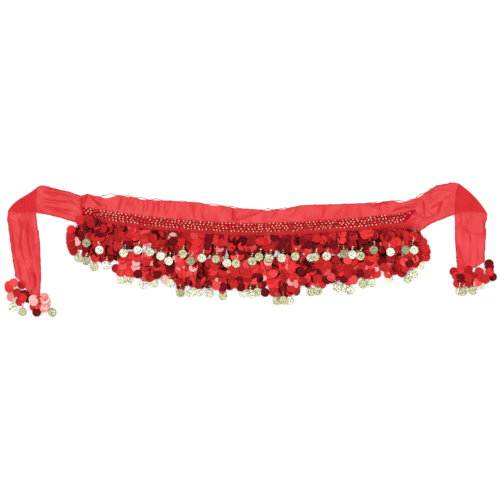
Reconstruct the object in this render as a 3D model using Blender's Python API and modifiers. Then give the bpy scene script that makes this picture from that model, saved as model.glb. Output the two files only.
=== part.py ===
"""Belly dance hip scarf of sheer chiffon, laid flat with both ties folded down.

The body panel is a shallow crescent that carries a beaded band and two tiers of fringe. Every strand of
the fringe is a stack of paillettes that ends in a coin. Each tie runs outwards from the body, folds once
over itself and drops to a slanted end, which has a short fringe of its own.

Metres, +Z up, +Y towards the scarf's upper edge. The origin lies on the surface that the scarf rests on,
under the middle of its outline.
"""

import math
import random
from collections import namedtuple

import bmesh
import bpy
from mathutils import Vector

# Cloth and seams
CLOTH_WALL = 0.0012
BAND_WALL = 0.0010
BAND_HEIGHT = 0.0225
SEAM_GAP = 0.0003
HALF_SEAM = SEAM_GAP / 2
FOLD_RADIUS = 0.0010
SETTLE_LENGTH = 0.025

# How the cloth is divided
BODY_STATIONS = 56
BAND_FIRST_STATION = 1
BAND_LAST_STATION = 54
COLUMNS_ABOVE_BAND = 4
TIE_COLUMNS = 6
RUN_STATIONS = 10
DROP_STATIONS = 18
FOLD_STEPS = 4
LEFT_LOP = 1.5

# Fringe
FIRST_ROOT = -0.4260
STRAND_PITCH = 0.02793
LOWER_STRANDS = 31
UPPER_STRANDS = 30
TIER_STACK_WIDTH = 0.0270
TIE_STACK_WIDTH = 0.0235
TIER_FILL = 1.0
TIE_FILL = 0.6
STACK_STEP = 0.0110
STACK_HEIGHT = 0.0026
COIN = 0.0220
COIN_TO_STACK = 0.0250
COIN_HEIGHT = 0.0012
COIN_TURNS = (45, 90, 135, 170)
THREAD_WIDTH = 0.0026
STRIP_WIDTH = 0.0030
STRIP_WALL = 0.0012
LIFT = 0.0003
SWAY_DOWN = 0.0030

# The body panel from its left seam to its right one: the upper edge, the middle of the band and the hem
BodySection = namedtuple("BodySection", "x top band hem")
BODY = (
    BodySection(-0.4330, 0.1360, 0.1010, 0.0675),
    BodySection(-0.4050, 0.1360, 0.0950, 0.0745),
    BodySection(-0.3750, 0.1350, 0.0895, 0.0690),
    BodySection(-0.3125, 0.1375, 0.0800, 0.0600),
    BodySection(-0.2500, 0.1305, 0.0725, 0.0510),
    BodySection(-0.1875, 0.1240, 0.0665, 0.0460),
    BodySection(-0.1250, 0.1190, 0.0615, 0.0420),
    BodySection(-0.0625, 0.1115, 0.0575, 0.0375),
    BodySection(0.0000, 0.1060, 0.0553, 0.0350),
    BodySection(0.0625, 0.1035, 0.0575, 0.0365),
    BodySection(0.1250, 0.1095, 0.0595, 0.0385),
    BodySection(0.1875, 0.1145, 0.0635, 0.0425),
    BodySection(0.2500, 0.1155, 0.0675, 0.0470),
    BodySection(0.3125, 0.1200, 0.0735, 0.0520),
    BodySection(0.3750, 0.1245, 0.0795, 0.0545),
    BodySection(0.4250, 0.1390, 0.0860, 0.0475),
)

# A tie, by lines across it. The outer edge is the upper one as the tie leaves the body, and bow is how far
# the middle of a line bulges away from the body: on the left tie more so towards its inner edge, by LEFT_LOP.
# The run's last line is the crease, where the drop begins.
AcrossTie = namedtuple("AcrossTie", "along outer_x outer_y inner_x inner_y bow")
LEFT_RUN = (
    AcrossTie(0.000, -0.4330, 0.1360, -0.4330, 0.0675, 0.000),
    AcrossTie(0.020, -0.4500, 0.1440, -0.4525, 0.0745, 0.000),
    AcrossTie(0.048, -0.4750, 0.1500, -0.4800, 0.0820, 0.000),
    AcrossTie(0.076, -0.5000, 0.1565, -0.5100, 0.0890, 0.001),
    AcrossTie(0.105, -0.5175, 0.1605, -0.5500, 0.0945, 0.002),
    AcrossTie(0.139, -0.5325, 0.1570, -0.6060, 0.0950, 0.0046),
)
LEFT_DROP = (
    AcrossTie(0.000, -0.5325, 0.1570, -0.6060, 0.0950, 0.0046),
    AcrossTie(0.019, -0.5355, 0.1325, -0.6060, 0.0800, 0.0025),
    AcrossTie(0.044, -0.5355, 0.1025, -0.6045, 0.0600, 0.000),
    AcrossTie(0.075, -0.5320, 0.0600, -0.6020, 0.0400, 0.000),
    AcrossTie(0.115, -0.5270, 0.0150, -0.5970, 0.0050, 0.000),
    AcrossTie(0.163, -0.5245, -0.0450, -0.5920, -0.0300, 0.000),
    AcrossTie(0.193, -0.5240, -0.0850, -0.5885, -0.0510, 0.000),
    AcrossTie(0.216, -0.5265, -0.1160, -0.5880, -0.0660, 0.000),
)
RIGHT_RUN = (
    AcrossTie(0.000, 0.4250, 0.1390, 0.4250, 0.0475, 0.000),
    AcrossTie(0.027, 0.4450, 0.1525, 0.4500, 0.0640, 0.000),
    AcrossTie(0.053, 0.4650, 0.1600, 0.4775, 0.0765, 0.000),
    AcrossTie(0.081, 0.4850, 0.1650, 0.5100, 0.0885, 0.001),
    AcrossTie(0.111, 0.5050, 0.1675, 0.5500, 0.0955, 0.003),
    AcrossTie(0.141, 0.5225, 0.1650, 0.5935, 0.0900, 0.006),
)
RIGHT_DROP = (
    AcrossTie(0.000, 0.5225, 0.1650, 0.5935, 0.0900, 0.006),
    AcrossTie(0.018, 0.5155, 0.1400, 0.5920, 0.0780, 0.002),
    AcrossTie(0.041, 0.5130, 0.1100, 0.5885, 0.0620, 0.000),
    AcrossTie(0.072, 0.5125, 0.0700, 0.5890, 0.0400, 0.000),
    AcrossTie(0.107, 0.5135, 0.0300, 0.5880, 0.0100, 0.000),
    AcrossTie(0.140, 0.5165, -0.0150, 0.5865, -0.0100, 0.000),
    AcrossTie(0.164, 0.5180, -0.0460, 0.5875, -0.0280, 0.000),
)

# Creases that stand up from the cloth, each from one point to another: how far along the piece and how far
# across it from its upper or outer edge, then the height and half the width.
Crease = namedtuple("Crease", "along across along_end across_end height width")
BODY_CREASES = (
    Crease(0.018, 0.006, 0.060, 0.030, 0.0018, 0.012),
    Crease(0.095, 0.004, 0.070, 0.034, 0.0014, 0.011),
    Crease(0.172, 0.003, 0.182, 0.040, 0.0012, 0.011),
    Crease(0.290, 0.003, 0.286, 0.038, 0.0015, 0.011),
    Crease(0.382, 0.002, 0.386, 0.036, 0.0013, 0.011),
    Crease(0.446, 0.026, 0.510, 0.008, 0.0016, 0.012),
    Crease(0.628, 0.002, 0.634, 0.034, 0.0012, 0.011),
    Crease(0.740, 0.008, 0.838, 0.040, 0.0018, 0.012),
)
RUN_CREASES = (
    Crease(0.014, 0.018, 0.066, 0.022, 0.0016, 0.011),
    Crease(0.014, 0.044, 0.060, 0.046, 0.0014, 0.011),
)
DROP_CREASES = (
    Crease(0.078, 0.020, 0.146, 0.016, 0.0018, 0.013),
    Crease(0.066, 0.046, 0.120, 0.050, 0.0015, 0.012),
)

# Where the coins of a tier hang, for some of its roots. The strands between follow a smooth curve, and bow is
# how far the middle of a strand swings to the right.
TierPlace = namedtuple("TierPlace", "root_x coin_x coin_y bow")
UPPER_TIER = (
    TierPlace(-0.4260, -0.4400, 0.0190, -0.006),
    TierPlace(-0.3980, -0.4080, 0.0120, -0.003),
    TierPlace(-0.3700, -0.3760, 0.0020, 0.000),
    TierPlace(-0.3200, -0.3240, -0.0040, 0.000),
    TierPlace(-0.2500, -0.2520, -0.0060, 0.000),
    TierPlace(-0.1600, -0.1600, -0.0190, 0.000),
    TierPlace(-0.0450, -0.0440, -0.0310, 0.000),
    TierPlace(0.0200, 0.0220, -0.0220, 0.000),
    TierPlace(0.1000, 0.1030, -0.0185, 0.000),
    TierPlace(0.1800, 0.1850, -0.0160, 0.000),
    TierPlace(0.2500, 0.2570, -0.0120, 0.000),
    TierPlace(0.3200, 0.3290, -0.0040, 0.000),
    TierPlace(0.3840, 0.3960, 0.0000, 0.003),
    TierPlace(0.4120, 0.4280, 0.0020, 0.007),
)
LOWER_TIER = (
    TierPlace(-0.4260, -0.4440, -0.0180, -0.012),
    TierPlace(-0.3980, -0.4120, -0.0300, -0.005),
    TierPlace(-0.3700, -0.3800, -0.0420, 0.000),
    TierPlace(-0.3480, -0.3560, -0.0480, 0.000),
    TierPlace(-0.3200, -0.3260, -0.0720, 0.000),
    TierPlace(-0.2500, -0.2530, -0.0860, 0.000),
    TierPlace(-0.2000, -0.2010, -0.0870, 0.000),
    TierPlace(-0.1600, -0.1600, -0.1050, 0.000),
    TierPlace(-0.0650, -0.0640, -0.1130, 0.000),
    TierPlace(0.0000, 0.0020, -0.1080, 0.000),
    TierPlace(0.0650, 0.0690, -0.1260, 0.000),
    TierPlace(0.0950, 0.1000, -0.1260, 0.000),
    TierPlace(0.1500, 0.1560, -0.1050, 0.000),
    TierPlace(0.2300, 0.2380, -0.0970, 0.000),
    TierPlace(0.2950, 0.3050, -0.0830, 0.000),
    TierPlace(0.3560, 0.3690, -0.0730, 0.000),
    TierPlace(0.3840, 0.4000, -0.0650, 0.005),
    TierPlace(0.4120, 0.4310, -0.0410, 0.012),
)

# The strands on the ends of the ties, from root to coin. bow is how far the middle swings to the right.
TieStrand = namedtuple("TieStrand", "root_x coin_x coin_y bow")
LEFT_TIE_STRANDS = (
    TieStrand(-0.5850, -0.5985, -0.1430, -0.010),
    TieStrand(-0.5660, -0.5715, -0.1545, 0.000),
    TieStrand(-0.5475, -0.5400, -0.1560, 0.000),
    TieStrand(-0.5300, -0.4965, -0.1540, -0.003),
)
RIGHT_TIE_STRANDS = (
    TieStrand(0.5200, 0.5225, -0.1050, -0.007),
    TieStrand(0.5430, 0.5520, -0.1030, 0.000),
    TieStrand(0.5650, 0.5810, -0.0900, 0.000),
    TieStrand(0.5855, 0.6035, -0.0740, 0.006),
)

# Linear colour, roughness and metallic value of each part
Finish = namedtuple("Finish", "colour roughness metallic")
CHIFFON = Finish((0.80, 0.045, 0.055), 0.75, 0.0)
BEADWORK = Finish((0.55, 0.010, 0.018), 0.65, 0.0)
PAILLETTES = Finish((0.62, 0.008, 0.014), 0.22, 0.9)


def smooth(rows, key, column, at):
    """The value of a table's column at any key, on a smooth curve through the rows."""
    keys = [getattr(row, key) for row in rows]
    values = [getattr(row, column) for row in rows]
    last = len(rows) - 1

    def slope(i):
        before, after = max(i - 1, 0), min(i + 1, last)
        return (values[after] - values[before]) / (keys[after] - keys[before])

    i = next((n for n in range(1, last) if at < keys[n]), last) - 1
    span = keys[i + 1] - keys[i]
    t = (at - keys[i]) / span
    rise = values[i + 1] - values[i]
    start, end = slope(i) * span, slope(i + 1) * span
    return values[i] + t * (start + t * (3 * rise - 2 * start - end + t * (start + end - 2 * rise)))


def ease(t):
    """A smooth step from 0 to 1."""
    t = min(max(t, 0.0), 1.0)
    return t * t * (3 - 2 * t)


def raised_by(creases, along, across):
    """How far the creases raise the cloth at a point of it. Beyond its width a crease leaves it flat."""
    point = Vector((along, across))
    raised = 0.0
    for crease in creases:
        start = Vector((crease.along, crease.across))
        line = Vector((crease.along_end, crease.across_end)) - start
        share = min(max((point - start).dot(line) / line.length_squared, 0.0), 1.0)
        away = (point - start - share * line).length / crease.width
        raised = max(raised, crease.height * ease(1 - away))
    return raised


def material(name, finish):
    """A Principled material of one finish."""
    made = bpy.data.materials.new(name)
    made.use_nodes = True
    shader = made.node_tree.nodes["Principled BSDF"]
    shader.inputs["Base Color"].default_value = (*finish.colour, 1.0)
    shader.inputs["Roughness"].default_value = finish.roughness
    shader.inputs["Metallic"].default_value = finish.metallic
    made.diffuse_color = (*finish.colour, 1.0)
    return made


def add_object(name, bm, finish, collection):
    """Turns a bmesh into an object with a material of its own."""
    mesh = bpy.data.meshes.new(name)
    bm.to_mesh(mesh)
    bm.free()
    mesh.materials.append(material(name, finish))
    made = bpy.data.objects.new(name, mesh)
    collection.objects.link(made)
    return made


def sheet(name, lines, wall, finish, collection):
    """A cloth wall on a grid, whose points are given line by line across the cloth."""
    bm = bmesh.new()
    columns = len(lines[0])
    grid = bmesh.ops.create_grid(bm, x_segments=columns - 1, y_segments=len(lines) - 1, size=1.0)
    for number, vertex in enumerate(grid["verts"]):
        line, column = divmod(number, columns)
        vertex.co = lines[line][column]
    made = add_object(name, bm, finish, collection)
    solidify = made.modifiers.new("wall", "SOLIDIFY")
    solidify.thickness = wall
    solidify.offset = 0.0
    solidify.use_even_offset = True
    made.data.shade_smooth()
    return made


def body_stations():
    first, last = BODY[0].x + HALF_SEAM, BODY[-1].x - HALF_SEAM
    return [first + (last - first) * i / BODY_STATIONS for i in range(BODY_STATIONS + 1)]


def body_lines():
    """The middle of the body panel's wall, line by line from its upper edge to its hem.

    The last four points of a line are the band's upper edge, its middle, its lower edge and the hem.
    """
    lines = []
    for x in body_stations():
        top, band, hem = (smooth(BODY, "x", column, x) for column in ("top", "band", "hem"))
        band_top = band + BAND_HEIGHT / 2
        across = [top + (band_top - top) * j / COLUMNS_ABOVE_BAND for j in range(COLUMNS_ABOVE_BAND)]
        across += [band_top, band, band - BAND_HEIGHT / 2, hem]
        creases = [raised_by(BODY_CREASES, x - BODY[0].x, top - y) for y in across]
        lines.append([Vector((x, y, CLOTH_WALL / 2 + raised)) for y, raised in zip(across, creases)])
    return lines


def make_body_and_band(collection):
    """The band lies on the body panel, so its points are the panel's own, moved out."""
    lines = body_lines()
    sheet("body_panel", lines, CLOTH_WALL, CHIFFON, collection)
    out = Vector((0, 0, (CLOTH_WALL + BAND_WALL) / 2 + SEAM_GAP))
    under_band = lines[BAND_FIRST_STATION : BAND_LAST_STATION + 1]
    band = [[point + out for point in line[-4:-1]] for line in under_band]
    sheet("bead_band", band, BAND_WALL, BEADWORK, collection)


def line_across(rows, at, side):
    """The points of a line across a tie, as it lies on the floor. side is -1 for the left tie."""
    outer_x, outer_y, inner_x, inner_y, bow = (smooth(rows, "along", c, at) for c in AcrossTie._fields[1:])
    outer, inner = Vector((outer_x, outer_y)), Vector((inner_x, inner_y))
    outwards = (outer - inner).orthogonal().normalized() * -side
    lop = LEFT_LOP if side < 0 else 0.0
    points = []
    for j in range(TIE_COLUMNS + 1):
        across = j / TIE_COLUMNS
        swell = bow * 4 * across * (1 - across) * (1 + lop * (2 * across - 1))
        points.append(outer.lerp(inner, across) + outwards * swell)
    return points


def creased(points, creases, along, height):
    """A line of points at a height, which may depend on the place, with the creases raised on it."""
    width = (points[-1] - points[0]).length
    line = []
    for j, point in enumerate(points):
        raised = raised_by(creases, along, width * j / TIE_COLUMNS)
        line.append(Vector((*point, height(point) + raised)))
    return line


def make_tie(name, run, drop, side, collection):
    """A tie in one piece: the run, the fold and the drop, which lies on the run and then on the floor."""
    low = CLOTH_WALL / 2
    high = low + 2 * FOLD_RADIUS
    run_edge = max(row.inner_y for row in run) - CLOTH_WALL
    seam = Vector((side * HALF_SEAM, 0))
    lines = []

    for i in range(RUN_STATIONS):
        along = run[-1].along * i / RUN_STATIONS
        points = line_across(run, along, side)
        if i == 0:
            points = [point + seam for point in points]
        lines.append(creased(points, RUN_CREASES, along, lambda point: low))

    crease = line_across(run, run[-1].along, side)
    outwards = (crease[0] - crease[-1]).orthogonal().normalized() * -side
    for i in range(FOLD_STEPS + 1):
        turn = math.pi * i / FOLD_STEPS
        shift = outwards * FOLD_RADIUS * math.sin(turn)
        height = low + FOLD_RADIUS * (1 - math.cos(turn))
        lines.append([Vector((*(point + shift), height)) for point in crease])

    def settled(point):
        return low + (high - low) * ease(1 + (point.y - run_edge) / SETTLE_LENGTH)

    for i in range(1, DROP_STATIONS + 1):
        along = drop[-1].along * i / DROP_STATIONS
        lines.append(creased(line_across(drop, along, side), DROP_CREASES, along, settled))
    sheet(name, lines, CLOTH_WALL, CHIFFON, collection)


def extrude_to(bm, face, ring):
    """Extrudes a face of four corners so that its corners move to the ring's points."""
    moved = bmesh.ops.extrude_discrete_faces(bm, faces=[face])["faces"][0]
    for vertex, point in zip(moved.verts, ring):
        vertex.co = point
    return moved


def strand_profile(length, stack_width, fill):
    """The rings of a strand from its root down: distance above the coin's centre, half the width, and height.

    The paillettes fill a share of the thread between the root and the coin, and the rest of it is bare.
    """
    stack, coin, thread = stack_width / 2, COIN / 2, THREAD_WIDTH / 2
    corner = math.sqrt(0.5)
    room = length - COIN_TO_STACK - stack - STRIP_WIDTH
    steps = max(round(fill * room / STACK_STEP), 1)
    step = fill * room / steps
    first = COIN_TO_STACK + fill * room
    rings = []
    if room - fill * room > STRIP_WIDTH:
        rings.append((first + stack + STRIP_WIDTH, thread, COIN_HEIGHT))
    rings.append((first + 0.95 * stack, 0.35 * stack, STACK_HEIGHT * 0.7))
    rings.append((first + corner * stack, corner * stack, STACK_HEIGHT * 0.8))
    notch = math.sqrt(stack**2 - (step / 2) ** 2)
    for i in range(steps):
        middle = first - i * step
        rings.append((middle, stack, STACK_HEIGHT * 0.8))
        rings.append((middle - step / 2, notch, STACK_HEIGHT))
    rings.append((COIN_TO_STACK, stack, STACK_HEIGHT * 0.8))
    rings.append((COIN_TO_STACK - corner * stack, corner * stack, STACK_HEIGHT))
    rings.append(((COIN_TO_STACK - stack + coin) / 2, 1.5 * thread, COIN_HEIGHT))
    for turn in COIN_TURNS:
        angle = math.radians(turn)
        rings.append((coin * math.cos(angle), coin * math.sin(angle), COIN_HEIGHT))
    return rings


def add_strand(bm, root_face, strand, base, stack_width, fill):
    """A strand of four sides, extruded from its root on the strip."""
    root, coin, bow = strand
    down = (coin - root).normalized()
    across = Vector((-down.y, down.x))
    length = (coin - root).length
    face = root_face
    for above, half, height in strand_profile(length, stack_width, fill):
        middle = coin - down * above + across * bow * math.sin(math.pi * above / length)
        left, right = middle - across * half, middle + across * half
        top = base + height
        face = extrude_to(bm, face, ((*left, base), (*right, base), (*right, top), (*left, top)))


def make_fringe(name, strands, edge_at, bends, floor, base, stack_width, fill, collection):
    """A narrow strip that follows an edge at some floor height, with a strand from each root.

    The edge is straight apart from its bends, which are given by their x.
    """
    bm = bmesh.new()

    def ring(place):
        front, back = place - Vector((0, STRIP_WIDTH)), place
        top = floor + STRIP_WALL
        return (*front, floor), (*front, top), (*back, top), (*back, floor)

    half = THREAD_WIDTH / 2
    roots = [root.x for root, _, _ in strands]
    start, end = roots[0] - half, roots[-1] + half
    between = [x for x in bends if start < x < end and all(abs(x - root) > THREAD_WIDTH for root in roots)]
    places = sorted([root - half for root in roots] + [root + half for root in roots] + between)
    rings = {start: [bm.verts.new(point) for point in ring(edge_at(start))]}
    face = bm.faces.new(rings[start])
    for x in places[1:]:
        face = extrude_to(bm, face, ring(edge_at(x)))
        rings[x] = list(face.verts)
    bm.faces.new(reversed(rings[start]))
    for root, strand in zip(roots, strands):
        left, right = rings[root - half], rings[root + half]
        corners = (left[0], right[0], right[1], left[1])
        bm.faces.remove(bm.faces.get(corners))
        add_strand(bm, bm.faces.new(corners), strand, base, stack_width, fill)
    bmesh.ops.recalc_face_normals(bm, faces=bm.faces)
    return add_object(name, bm, PAILLETTES, collection)


def hem_edge(x):
    """The strip of a tier starts just past the hem, which is straight between the panel's lines."""
    stations = body_stations()
    i = min(int((x - stations[0]) / (stations[1] - stations[0])), BODY_STATIONS - 1)
    before, after = (Vector((at, smooth(BODY, "x", "hem", at))) for at in stations[i : i + 2])
    share = (x - before.x) / (after.x - before.x)
    return before.lerp(after, share) - Vector((0, SEAM_GAP))


def tier_strands(tier, first_root, count, seed):
    """Root, coin and bow of each strand of a tier, some a little longer than others."""
    sway = random.Random(seed)
    strands = []
    for i in range(count):
        x = first_root + STRAND_PITCH * i
        root = hem_edge(x) - Vector((0, STRIP_WIDTH))
        coin_x, coin_y, bow = (smooth(tier, "root_x", column, x) for column in TierPlace._fields[1:])
        coin_y += sway.uniform(-SWAY_DOWN, SWAY_DOWN)
        strands.append((root, Vector((coin_x, coin_y)), bow))
    return strands


def make_tiers(collection):
    """The lower tier lies on the floor, and the upper one on it, with its strands over the gaps."""
    lower = tier_strands(LOWER_TIER, FIRST_ROOT, LOWER_STRANDS, 11)
    upper = tier_strands(UPPER_TIER, FIRST_ROOT + STRAND_PITCH / 2, UPPER_STRANDS, 7)
    bends = body_stations()
    make_fringe("lower_fringe", lower, hem_edge, bends, 0.0, LIFT, TIER_STACK_WIDTH, TIER_FILL, collection)
    floor = STRIP_WALL + SEAM_GAP
    base = LIFT + STACK_HEIGHT + SEAM_GAP
    make_fringe("upper_fringe", upper, hem_edge, bends, floor, base, TIER_STACK_WIDTH, TIER_FILL, collection)


def make_tie_fringe(name, table, drop, collection):
    """The strip of a tie's fringe starts just past the tie's last line, which is straight."""
    end = drop[-1]
    slope = (end.outer_y - end.inner_y) / (end.outer_x - end.inner_x)
    gap = SEAM_GAP * math.hypot(1, slope)

    def edge_at(x):
        return Vector((x, end.inner_y + slope * (x - end.inner_x) - gap))

    strands = []
    for row in table:
        root = edge_at(row.root_x) - Vector((0, STRIP_WIDTH))
        strands.append((root, Vector((row.coin_x, row.coin_y)), row.bow))
    make_fringe(name, strands, edge_at, (), 0.0, LIFT, TIE_STACK_WIDTH, TIE_FILL, collection)


def clear_scene():
    for old in list(bpy.data.objects):
        bpy.data.objects.remove(old)


def main():
    clear_scene()
    scarf = bpy.data.collections.new("hip_scarf")
    bpy.context.scene.collection.children.link(scarf)
    make_body_and_band(scarf)
    make_tie("left_tie", LEFT_RUN, LEFT_DROP, -1, scarf)
    make_tie("right_tie", RIGHT_RUN, RIGHT_DROP, 1, scarf)
    make_tiers(scarf)
    make_tie_fringe("left_tie_fringe", LEFT_TIE_STRANDS, LEFT_DROP, scarf)
    make_tie_fringe("right_tie_fringe", RIGHT_TIE_STRANDS, RIGHT_DROP, scarf)


main()
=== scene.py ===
"""Looks of the hip scarf: sheer chiffon, a beaded band, paillettes, coins, beads and thread."""

import math
import random
from collections import namedtuple

import bpy
import numpy as np
from mathutils import Matrix, Vector


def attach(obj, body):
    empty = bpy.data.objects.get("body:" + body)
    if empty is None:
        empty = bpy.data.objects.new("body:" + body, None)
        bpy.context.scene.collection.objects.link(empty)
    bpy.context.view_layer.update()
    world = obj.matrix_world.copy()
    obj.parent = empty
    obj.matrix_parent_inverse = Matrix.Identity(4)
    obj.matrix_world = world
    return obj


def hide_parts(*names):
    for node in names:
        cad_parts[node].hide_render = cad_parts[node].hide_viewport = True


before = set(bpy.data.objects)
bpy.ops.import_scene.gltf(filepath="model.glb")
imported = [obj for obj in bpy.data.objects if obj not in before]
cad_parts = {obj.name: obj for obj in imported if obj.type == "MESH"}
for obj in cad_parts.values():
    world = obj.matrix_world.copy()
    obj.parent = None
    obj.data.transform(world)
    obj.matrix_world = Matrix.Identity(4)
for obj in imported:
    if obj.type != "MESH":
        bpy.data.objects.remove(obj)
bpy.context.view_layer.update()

# Cloth: the distance between its points, its thickness, how high it lies, its waves, the band and its beads,
# the raised hem and the ties
CELL = 0.0019
CLOTH = 0.00035
LOW_CLOTH = 0.0009
WAVE = 0.0005
BAND_START = -0.4200
BAND_END = 0.4150
BAND_UP = 0.0007
BAND_HEIGHT = 0.0225
BEAD_PITCH = 0.0090
BEAD_DRIFT = 0.14
BEAD_UP = 0.0009
HEM_UP = 0.0072
HEM_REACH = 0.024
FOLD_RADIUS = 0.0005
LEFT_LOP = 1.5
TIE_WIDTH = 0.075
TIE_GRAIN = 0.16

# Fringe: its strands, paillettes, coins and beads, and how high they pile up
STRAND_PITCH = 0.02793
FIRST_ROOT = -0.4260
PAILLETTE = 0.0113
PAILLETTE_WALL = 0.00035
# RIM_SHADE darkens the edge of a paillette: painted shade.
RIM_SHADE = 0.50
DISH = 0.00012
CURLS = (0.0, 0.0005, 0.0010, -0.0004)
FRONT_PITCH = 0.0116
BACK_PITCH = 0.0120
IN_FRONT = 0.010
LAST_LAID = 0.2
END_BARE = 0.008
SCATTER = 0.0018
ORDER_SCATTER = 0.0060
ORDER_STEP = 0.008
ACCENT_STEP = 0.003
TILE_LEAN = 0.09
SETTLED_LEAN = 0.22
MOST_LEAN = 0.74
SLOPE_SHARE = 0.15
DISC_BEARS = 0.90
COIN_BEARS = 0.99
END_BELOW = -0.335
COIN = 0.0108
COIN_WALL = 0.0008
COIN_RELIEF = 0.00055
RING = 0.0016
RING_WIRE = 0.0003
DROP_BEAD = 0.0021
SEED_BEAD = 0.0016
PILE_PLAN = ((-0.66, -0.19), (0.66, 0.12))
PILE_TOP = 0.0138
OVER_PILE = 0.0016
OVER_CLOTH = 0.0016
ABOVE_FLOOR = 0.0003

# Threads: the radius of each kind, how high they lie, and the distance between the points of the edging
STRAND_THREAD = 0.0006
COIN_THREAD = 0.0005
BAND_THREAD = 0.00035
EDGE_THREAD = 0.00065
LOOP_THREAD = 0.0004
TIE_EDGE_THREAD = 0.00055
THREAD_WALL = 0.0008
THREAD_UP = 0.0018
TIE_THREAD_UP = 0.0022
EDGE_STEP = 0.0022
EDGE_BEAD_UP = 0.0024

TURN = 2 * math.pi
MOST_SPIN = 6.28
LEVEL = Vector((0, 0))
DOWN = Vector((0, -1))

# Along the thread above a coin: how far up, how far aside, and whether a bead is there
ABOVE_COIN = ((0.0118, -0.6, False), (0.0146, 1, True), (0.0196, -0.6, True), (0.0262, 0, False))

# Studio, in metres: the photo's width on the scarf, how far the camera is above the scarf's middle, how high
# that is, and the place, size and radiance of each light
PHOTO_WIDTH = 1.25
CAMERA_AWAY = 3.0
SCARF_MIDDLE = 0.003
LIGHTS = {
    "overhead": ((0.0, 0.0, 3.8), 4.2, 1.05),
    "left": ((-2.45, 0.50, 2.5), 2.4, 1.30),
    "right": ((2.45, -0.40, 2.5), 2.4, 1.30),
    "front": ((0.6, -2.4, 2.5), 2.4, 1.22),
    "back": ((-0.5, 2.4, 2.6), 2.4, 1.22),
}


def table(kind, lengths, *rows):
    """Rows of a table, of which the first columns, that many of them, are lengths in millimetres."""
    return [kind(*(v / 1000 for v in row[:lengths]), *row[lengths:]) for row in rows]


# Upper edge of the body panel, as the cloth runs in and out
EdgePoint = namedtuple("EdgePoint", "x y")
TOP_EDGE = table(
    EdgePoint, 2,
    (-433, 138.5), (-425.5, 135), (-422.5, 134.3), (-415, 137), (-405, 139.3), (-392, 135), (-373, 132.8),
    (-365, 130), (-354, 130.3), (-339.5, 134.3), (-323.5, 136), (-309.3, 133.2), (-286.8, 130.3),
    (-271, 126.2), (-251.8, 125.2), (-226.3, 123.6), (-188, 121.8), (-156, 119.8), (-125, 117.5),
    (-105.8, 113), (-90.5, 111), (-77.3, 111), (-50.5, 107), (-33.3, 104.3), (-2.5, 102), (24.3, 100.3),
    (41.5, 98.6), (56.8, 100.3), (85.5, 102.2), (104.5, 106), (127.5, 110.8), (173.5, 112.8), (200, 113.2),
    (237.5, 114.6), (275, 115.8), (307, 117.3), (322.5, 117.5), (338.8, 121), (358, 122.8), (370.8, 119.5),
    (383.5, 119.2), (389.8, 120.5), (412, 127.8), (425, 133),
)

# The middle of the band and the hem
BodySection = namedtuple("BodySection", "x band hem")
BODY = table(
    BodySection, 3,
    (-433, 101, 67.5), (-405, 95, 74.5), (-375, 89.5, 69), (-312.5, 80, 60), (-250, 72.5, 51),
    (-187.5, 66.5, 46), (-125, 61.5, 42), (-62.5, 57.5, 37.5), (0, 55.3, 35), (62.5, 57.5, 36.5),
    (125, 59.5, 38.5), (187.5, 63.5, 42.5), (250, 67.5, 47), (312.5, 73.5, 52), (375, 79.5, 54.5),
    (425, 86, 47.5),
)

# A tie, by lines across it, from its outer edge to its inner one. bow is how far the middle of a line bulges
# away from the body, more so by LEFT_LOP towards the inner edge of the left tie, and sag how far it hangs.
AcrossTie = namedtuple("AcrossTie", "along outer_x outer_y inner_x inner_y bow sag", defaults=(0, 0))
LEFT_RUN = table(
    AcrossTie, 7,
    (0, -433, 138.5, -433, 67.5), (20, -450, 144, -452.5, 74.5), (48, -475, 150, -480, 82),
    (76, -500, 156.5, -510, 89, 1), (105, -517.5, 160.5, -550, 94.5, 2), (139, -532.5, 157, -606, 95, 4.6),
)
LEFT_DROP = table(
    AcrossTie, 7,
    (0, -532.5, 157, -606, 95, 4.6), (19, -535.5, 132.5, -606.5, 80, 2.5), (44, -536, 102.5, -604.5, 60),
    (75, -531, 60, -602, 40), (115, -526.2, 15, -597, 5), (163, -524, -45, -592, -30, 0, 1),
    (193, -523.5, -85, -588.5, -51, 0, 6), (216, -526.2, -116, -588, -66, 0, 15),
)
RIGHT_RUN = table(
    AcrossTie, 7,
    (0, 425, 133, 425, 47.5), (27, 445, 147, 450, 64), (53, 465, 158.5, 477.5, 76.5),
    (81, 485, 164, 510, 88.5, 1), (111, 505, 167.5, 550, 95.5, 3), (141, 522.5, 165.5, 593.5, 90, 6),
)
RIGHT_DROP = table(
    AcrossTie, 7,
    (0, 522.5, 165.5, 593.5, 90, 6), (18, 515.5, 140, 592, 78, 2), (41, 513, 110, 588.5, 62),
    (72, 512.5, 70, 590, 40, 1), (107, 513.5, 30, 588, 10), (140, 516.5, -15, 586.5, -10, 0, 3),
    (164, 518, -46, 587.5, -28, 0, 11),
)
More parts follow.
